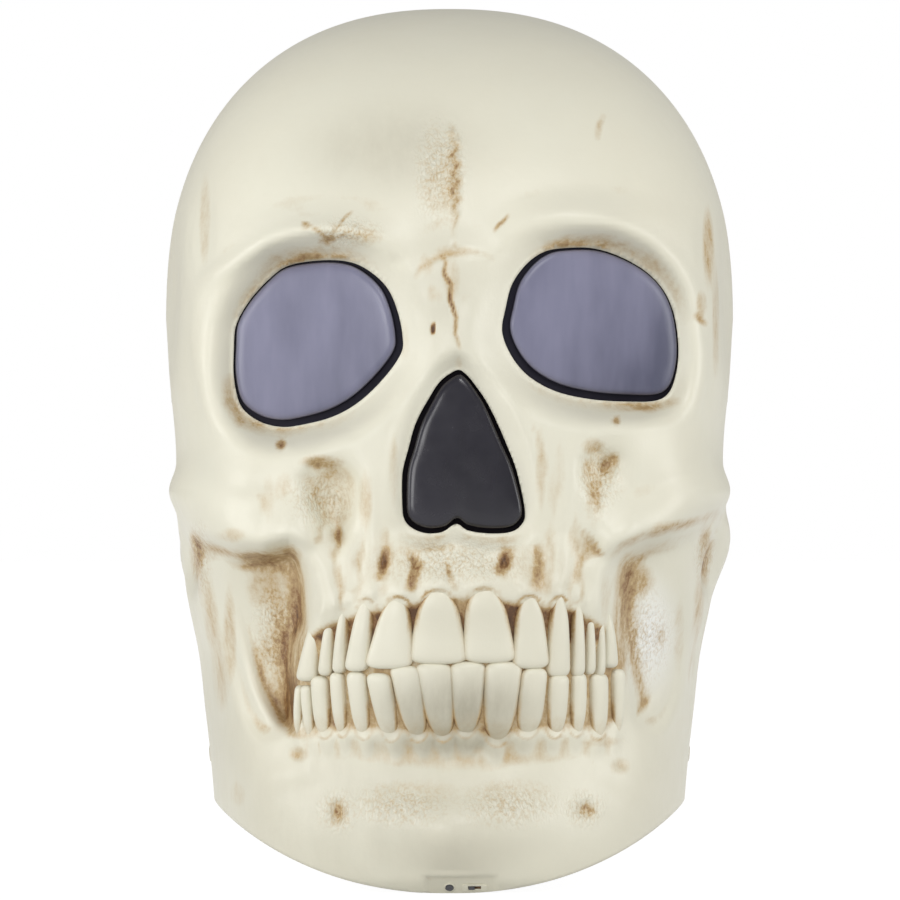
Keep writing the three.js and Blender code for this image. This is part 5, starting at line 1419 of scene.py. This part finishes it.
def bone_material():
    made, nodes, shader = material("bone")
    seen = bone_patterns(nodes)
    rough = nodes.ramp(seen["streak"], 0.3, 0.7, 0.34, 0.46)
    rough = nodes.minus(rough, nodes.times(seen["leather"], 0.10))
    nodes.feed(shader.inputs["Base Color"], bone_paint(nodes, seen))
    nodes.feed(shader.inputs["Roughness"], rough)
    nodes.feed(shader.inputs["Normal"], bone_relief(nodes, seen))
    return made


bone = bone_material()
for obj in (front, rear):
    obj.data.materials.append(bone)
print("bone has", len(bone.node_tree.nodes), "nodes")

# %% [markdown]
# ## The teeth
# On the real face each crown is a petal: broad and nearly straight where it bites, and drawn in
# to a round point at the gum. A ball has the right closed form to start from. Its rings are
# squared and drawn onto the petal's outline, and the crown is then turned to face out of its
# arch. The crowns of an arch are joined to one piece.

# %% Crowns
# how far a crown stands out and reaches in, the place of its middle, and how far it passes the
# drawn gum and bite
CROWN = {"proud": 9.5 * MM, "root": 10 * MM, "set_back": 4.5 * MM, "lower_back": 2 * MM,
         "past_gum": 10 * MM, "past_bite": 2 * MM}
# how a crown's width compares with the drawn one, how its rings spread and square, and how far
# it turns with the face
PETAL = {"wider": 1.12, "narrow": 0.5, "at_upper_gum": 0.82, "at_lower_gum": 1.1,
         "straight": 0.06, "spread": 0.85, "square": 0.88, "turn": 0.9}
GUM_END = (0.40, 2.3, 2)  # share of the height, and two powers that shape the curve
BITE_END = (0.16, 3, 3)
CROWN_SEGMENTS, CROWN_RINGS = 32, 26


def rounded_end(to_end, over, bulge, close):
    """Falls from 1 to 0 over the last share of a crown, like the edge of a coin."""
    return (1 - np.clip((to_end - (1 - over)) / over, 0, 1) ** bulge) ** (1 / close)


def crown_wash(aside, to_gum, way):
    """Wash stays on a crown's sides, and near the gum of a lower one."""
    at_side = ramp(0.72, 1.0, np.abs(aside))
    wash_and_shade = 0.5 * at_side * ramp(0.35, 0.8, to_gum) + 0.16 * at_side
    return wash_and_shade + (0.14 * ramp(0.5, 1, to_gum) if way < 0 else 0)


def crown_lean(middle, reach):
    """How far the face turns aside at a crown's middle."""
    ends = face_depth(middle[0] + np.array([-reach, reach]), np.full(2, middle[1]))
    return math.atan((ends[1] - ends[0]) / (2 * reach)) * PETAL["turn"]


def crown_points(ball, row, way):
    """The places of a crown, and how much wash stays on each."""
    gum_x, gum_y, gum_half, bite_x, bite_y, bite_half = row
    gum, bite = from_photo([(gum_x, gum_y), (bite_x, bite_y)], TEETH_DEPTH)
    gum[1] += way * CROWN["past_gum"]
    bite[1] -= way * CROWN["past_bite"]
    turn = np.arctan2(ball[:, 1], ball[:, 0])
    aside, inwards = (
        np.sign(share) * np.abs(share) ** PETAL["square"] for share in (np.cos(turn), np.sin(turn)))
    to_gum = (np.sign(ball[:, 2]) * np.abs(ball[:, 2]) ** PETAL["spread"] * way + 1) / 2
    gum_round, bite_round = rounded_end(to_gum, *GUM_END), rounded_end(1 - to_gum, *BITE_END)

    narrow = gum_half * PETAL["at_upper_gum" if way > 0 else "at_lower_gum"]
    narrow = max(narrow, bite_half * PETAL["narrow"])
    half = mix(bite_half, narrow, np.clip(to_gum - PETAL["straight"], 0, 1))
    across = aside * half * MM * PETAL["wider"] * gum_round * bite_round
    belly = mix(0.68, 1.0, np.sin(np.pi * np.clip(to_gum * 0.9 + 0.12, 0, 1)))
    belly *= bite_round * mix(1, gum_round, 0.3)
    deep = inwards * np.where(
        inwards < 0, CROWN["proud"] * belly, CROWN["root"] * gum_round * bite_round)

    middle = (gum + bite) / 2
    lean = crown_lean(middle, (gum_half + bite_half) / 2 * MM)
    up = mix(bite[1], gum[1], to_gum)
    x = mix(bite[0], gum[0], to_gum) + across * math.cos(lean) - deep * math.sin(lean)
    y = face_depth(np.full(len(up), middle[0]), up) + CROWN["set_back"]
    y += across * math.sin(lean) + deep * math.cos(lean) + (CROWN["lower_back"] if way < 0 else 0)
    return np.stack([x, y, up], axis=1), crown_wash(aside, to_gum, way)


# %% Both arches
UPPER_FILM = 0.25  # how much of the film reaches the upper crowns


def add_crown(row, way):
    bpy.ops.mesh.primitive_uv_sphere_add(
        segments=CROWN_SEGMENTS, ring_count=CROWN_RINGS, radius=1)
    crown = bpy.context.object
    places, wash_and_shade = crown_points(points_of(crown.data), row, way)
    set_points(crown.data, places)
    keep_mask(crown, "wash_and_shade", wash_and_shade)
    keep_mask(crown, "film_and_painted_light", film_and_painted_light_of(places) * (UPPER_FILM if way > 0 else 1.0))
    return crown


def add_arch(name, table, way):
    crowns = [add_crown(row, way) for row in table]
    bpy.ops.object.select_all(action="DESELECT")
    for crown in crowns:
        crown.select_set(True)
    bpy.context.view_layer.objects.active = crowns[0]
    bpy.ops.object.join()
    arch = bpy.context.object
    arch.name = arch.data.name = name
    point_out(arch)
    bpy.ops.object.shade_smooth()
    arch.data.materials.append(bone)
    return arch


upper = add_arch("upper_teeth", UPPER_TEETH, 1)
lower = add_arch("lower_teeth", LOWER_TEETH, -1)
print("teeth", len(upper.data.polygons) + len(lower.data.polygons), "faces")

# %% [markdown]
# ## The smoked panels
# Each real panel is a slab of smoked plastic with a rounded edge and a slightly crowned front.
# A ball serves once more: it has a ring for every step of that edge, and each ring is drawn
# onto the outline of its window, so that the panel follows the window's wavy edge.

# %% Panels
PANEL_RINGS = [  # moved out, and behind the seat, in millimetres
    (8.0, 6.3), (8.0, 4.3), (-2.2, 4.3), (-2.2, 1.5), (-2.5, -0.5), (-3.3, -2.4), (-4.8, -4.0),
    (-6.8, -5.1), (-9.4, -5.8), (-13.0, -6.2), (-20.0, -6.5), (-32.0, -6.8),
]
PANEL_ENDS = (6.3, -7.0)  # the middle of the back and of the front, in millimetres
PANEL_SHIFT = {"left_eye": (-2.5, 2.5), "right_eye": (3.0, 2.5), "nose": (0.5, 0.5)}
PANEL_SHADE = {"left_eye": 0.5, "right_eye": 0.95, "nose": 0.3}
PANEL_TURNS = 180
SMALLEST_RING = 0.1  # of the outline's reach
EDGE_ANGLE = math.radians(50)


def panel_points(ball, window, shift):
    """The places of a ball's points when its rings lie on the panel."""
    outwards, behind = np.array(PANEL_RINGS).T * MM
    behind = np.concatenate([[PANEL_ENDS[0] * MM], behind, [PANEL_ENDS[1] * MM]])
    last = len(behind) - 1
    ring = np.rint(np.arccos(np.clip(ball[:, 2], -1, 1)) / np.pi * last).astype(int)
    turn = np.arctan2(ball[:, 1], ball[:, 0])
    reach = np.interp(turn / (2 * np.pi) % 1, window.turns, window.reach, period=1)
    shifted = reach + outwards[np.clip(ring - 1, 0, len(outwards) - 1)]
    length = np.where((ring > 0) & (ring < last), np.maximum(shifted, SMALLEST_RING * reach), 0)
    middle = window.middle + np.array(shift) * MM
    across, up = middle[0] + np.cos(turn) * length, middle[1] + np.sin(turn) * length
    return np.stack([across, window.seat(across, up) + behind[ring], up], axis=1)


def add_panel(key, window, finish):
    bpy.ops.mesh.primitive_uv_sphere_add(
        segments=PANEL_TURNS, ring_count=len(PANEL_RINGS) + 1, radius=1)
    panel = bpy.context.object
    panel.name = panel.data.name = f"{key}_panel"
    places = panel_points(points_of(panel.data), window, PANEL_SHIFT[key])
    set_points(panel.data, places)
    point_out(panel)
    behind = places[:, 1] - window.seat(places[:, 0], places[:, 2])
    # the part of the panel behind the seat, down in the gap; the finish paints it near black as
    # painted shade
    keep_mask(panel, "edge", ramp(-3.2 * MM, 0.5 * MM, behind))
    share = (places[:, [0, 2]] - window.middle) / window.half
    to_corner = (share[:, 0] - share[:, 1]) * 0.7
    keep_mask(panel, "shade", ramp(-0.3, 1.1, to_corner) * PANEL_SHADE[key])
    bpy.ops.object.shade_smooth_by_angle(angle=EDGE_ANGLE)
    panel.data.materials.append(finish)
    return panel


# %% [markdown]
# Smoked plastic isn't quite black: it is cloudy, with soft lighter and darker streaks. The eyes'
# light grey-violet is partly the smoke's own colour and partly a painted reflection of the bright
# surroundings, so they are far lighter than the nose. The rounded edge is painted near black, as
# painted shade down in the gap, where it also reflects almost nothing. The corner away from the
# light is darker too, as painted shade.

# %% Smoked plastic
GAP_SHADE_BLACK = (0.006, 0.005, 0.006, 1.0)
LENS_STREAK_STRETCH = (30.0, 30.0, 8.0)


def smoked_material(name, colour, dark, roughness):
    made, nodes, shader = material(name)
    place = nodes.place()
    rim = nodes.mask("edge")
    cloud = nodes.group(mottle, Vector=place, Scale=9.0, Contrast=1.3)
    lens_streaks = nodes.noise(nodes.stretched(place, LENS_STREAK_STRETCH), 1.0, 3.0)
    amount = nodes.plus(nodes.times(cloud, 0.25), nodes.times(nodes.mask("shade"), 0.6))
    amount = nodes.plus(amount, nodes.ramp(lens_streaks, 0.3, 0.7, -0.2, 0.2))
    smoke = nodes.blend(nodes.ramp(amount, 0.0, 1.0), colour, dark)
    # painted shade: the rounded edge down in the gap turns near black
    smoke = nodes.blend(nodes.ramp(rim, 0.0, 1.0, 0.0, 0.9), smoke, GAP_SHADE_BLACK)
    rub = nodes.ramp(nodes.noise(place, 60.0, 4.0), 0.3, 0.7, roughness, roughness + 0.08)
    nodes.feed(shader.inputs["Base Color"], smoke)
    nodes.feed(shader.inputs["Specular IOR Level"], nodes.ramp(rim, 0.2, 1.0, 0.5, 0.02))
    nodes.feed(shader.inputs["Roughness"], rub)
    nodes.feed(shader.inputs["Normal"], nodes.bump(nodes.noise(place, 14.0, 2.0), 0.5, 0.002))
    return made


# the eyes' grey-violet: partly the smoke's colour, partly a painted reflection of the bright
# surroundings
eye_smoke_and_reflection = smoked_material("eye_smoke_and_reflection", linear(127, 127, 150), linear(66, 68, 90), 0.28)
nose_smoke = smoked_material("nose_smoke", linear(34, 32, 42), linear(14, 13, 19), 0.20)
panels = {
    key: add_panel(key, window, nose_smoke if key == "nose" else eye_smoke_and_reflection)
    for key, window in windows.items()
}
for key, panel in panels.items():
    print(panel.name, len(panel.data.polygons), "faces")

# %% [markdown]
# ## Riding and replacing
# Each new piece now takes the place of the solid that it was modelled on, and rides on the same
# body. The teeth belong to the face half's moulding, so they replace it together with the skin.

# %% Riding and replacing
for piece, node in ((front, "front_shell"), (rear, "rear_shell")):
    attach(piece, "skull")
    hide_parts(node)
for arch in (upper, lower):
    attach(arch, "skull")
    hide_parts("front_shell")
for name, panel in panels.items():
    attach(panel, "skull")
    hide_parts(f"{name}_lens")

# %% [markdown]
# ## The rest of the hardware
# The plates, cups, boards, cells and screws keep their solids and only get their finishes. They
# differ in colour, gloss and grain, so one function makes them all.

# %% Plain finishes
def moulded_material(name, colour, roughness, metallic=0.0):
    made, nodes, shader = material(name)
    place = nodes.place()
    cloud = nodes.group(mottle, Vector=place, Scale=20.0, Contrast=1.0)
    darker = tuple(share * 0.8 for share in colour[:3]) + (1.0,)
    speck = nodes.noise(place, 180.0, 3.0)
    nodes.feed(shader.inputs["Metallic"], metallic)
    nodes.feed(shader.inputs["Base Color"], nodes.blend(cloud, colour, darker))
    nodes.feed(shader.inputs["Roughness"], nodes.ramp(speck, 0.3, 0.7, roughness, roughness + 0.12))
    nodes.feed(shader.inputs["Normal"], nodes.bump(speck, 0.4, 0.0004))
    return made


finishes = {
    "bone_shell": bone,
    "smoked_panel": eye_smoke_and_reflection,
    "dark_panel": nose_smoke,
    "white_cup": moulded_material("white_cup", linear(228, 228, 224), 0.30),
    "circuit_board": moulded_material("circuit_board", linear(46, 92, 58), 0.40),
    "screw_steel": moulded_material("screw_steel", linear(150, 150, 146), 0.28, metallic=1.0),
    "spring_steel": moulded_material("spring_steel", linear(190, 188, 180), 0.25, metallic=1.0),
    "black_plastic": moulded_material("black_plastic", linear(40, 40, 43), 0.45),
    "grey_plastic": moulded_material("grey_plastic", linear(74, 74, 78), 0.42),
    "cell_jacket": moulded_material("cell_jacket", linear(58, 62, 68), 0.30),
}
# the trim under the chin is sprayed together with the shell
SPRAYED = ("button_collar", "switch_bezel")
for entry in frame["record"]["subparts"]:
    slots = frame["nodes"][entry["node"]].data.materials
    slots.clear()
    slots.append(bone if entry["node"] in SPRAYED else finishes[entry["material_slot"]])
print(len(finishes), "finishes")

# %% [markdown]
# ## The studio
# The photograph has an even white ground and soft light from all sides. A pale floor lies under
# the skull, and five large soft lamps stand round it: two in front, one at each side, and a
# weak one behind that lights the rims. The camera sees the floor as nearly white, but the light
# sees its true pale grey.

# %% The floor
FLOOR = {"size": 30, "place": (0, 6, -0.0005), "grey": 0.7, "glow": 1.2, "glow_share": 0.8}
WHITE = (1, 1, 1, 1)


def add_floor():
    bpy.ops.mesh.primitive_plane_add(size=FLOOR["size"], location=FLOOR["place"])
    floor = bpy.context.object
    floor.name = "floor"
    made = bpy.data.materials.new("floor")
    made.use_nodes = True
    made.node_tree.nodes.clear()
    nodes = Nodes(made.node_tree)
    matt = nodes.add("ShaderNodeBsdfDiffuse", {"Color": (FLOOR["grey"],) * 3 + (1,)})
    glow = nodes.add("ShaderNodeEmission", {"Color": WHITE, "Strength": FLOOR["glow"]})
    path = nodes.add("ShaderNodeLightPath").outputs
    seen = nodes.math("MAXIMUM", path["Is Camera Ray"], path["Is Glossy Ray"])
    seen = nodes.math("MAXIMUM", seen, path["Is Transmission Ray"])
    share = nodes.times(seen, FLOOR["glow_share"])
    both = nodes.add("ShaderNodeMixShader", {0: share, 1: matt.outputs[0], 2: glow.outputs[0]})
    nodes.add("ShaderNodeOutputMaterial", {"Surface": both.outputs[0]})
    floor.data.materials.append(made)


add_floor()

# %% The lamps and the sky
LAMPS = [  # name, place, size, power
    ("key", (0.9, -3.6, 2.7), 1.6, 42),
    ("front", (-2.0, -4.1, 0.7), 1.7, 46),
    ("left", (-3.0, -1.0, 0.8), 1.8, 30),
    ("right", (3.0, -1.0, 0.8), 1.8, 27),
    ("back", (0, 3.6, 0.5), 1.0, 12),
]
SKY = {"lights": 0.46, "shows": 1.0}


def add_lamp(name, place, size, power):
    lamp = bpy.data.lights.new(name, "AREA")
    lamp.shape = "DISK"
    lamp.size = size
    lamp.energy = power
    obj = bpy.data.objects.new(name, lamp)
    bpy.context.collection.objects.link(obj)
    obj.location = place
    aim = Vector((0, 0, HEIGHT / 2)) - Vector(place)
    obj.rotation_euler = aim.to_track_quat("-Z", "Y").to_euler()


def add_sky():
    world = bpy.data.worlds.new("studio")
    bpy.context.scene.world = world
    world.use_nodes = True
    world.node_tree.nodes.clear()
    nodes = Nodes(world.node_tree)
    dim = nodes.add("ShaderNodeBackground", {"Color": WHITE, "Strength": SKY["lights"]})
    white = nodes.add("ShaderNodeBackground", {"Color": WHITE, "Strength": SKY["shows"]})
    seen = nodes.add("ShaderNodeLightPath").outputs["Is Camera Ray"]
    both = nodes.add("ShaderNodeMixShader", {0: seen, 1: dim.outputs[0], 2: white.outputs[0]})
    nodes.add("ShaderNodeOutputWorld", {"Surface": both.outputs[0]})


for lamp in LAMPS:
    add_lamp(*lamp)
add_sky()
bpy.context.scene.view_settings.view_transform = "Standard"
print(len(LAMPS), "lamps")
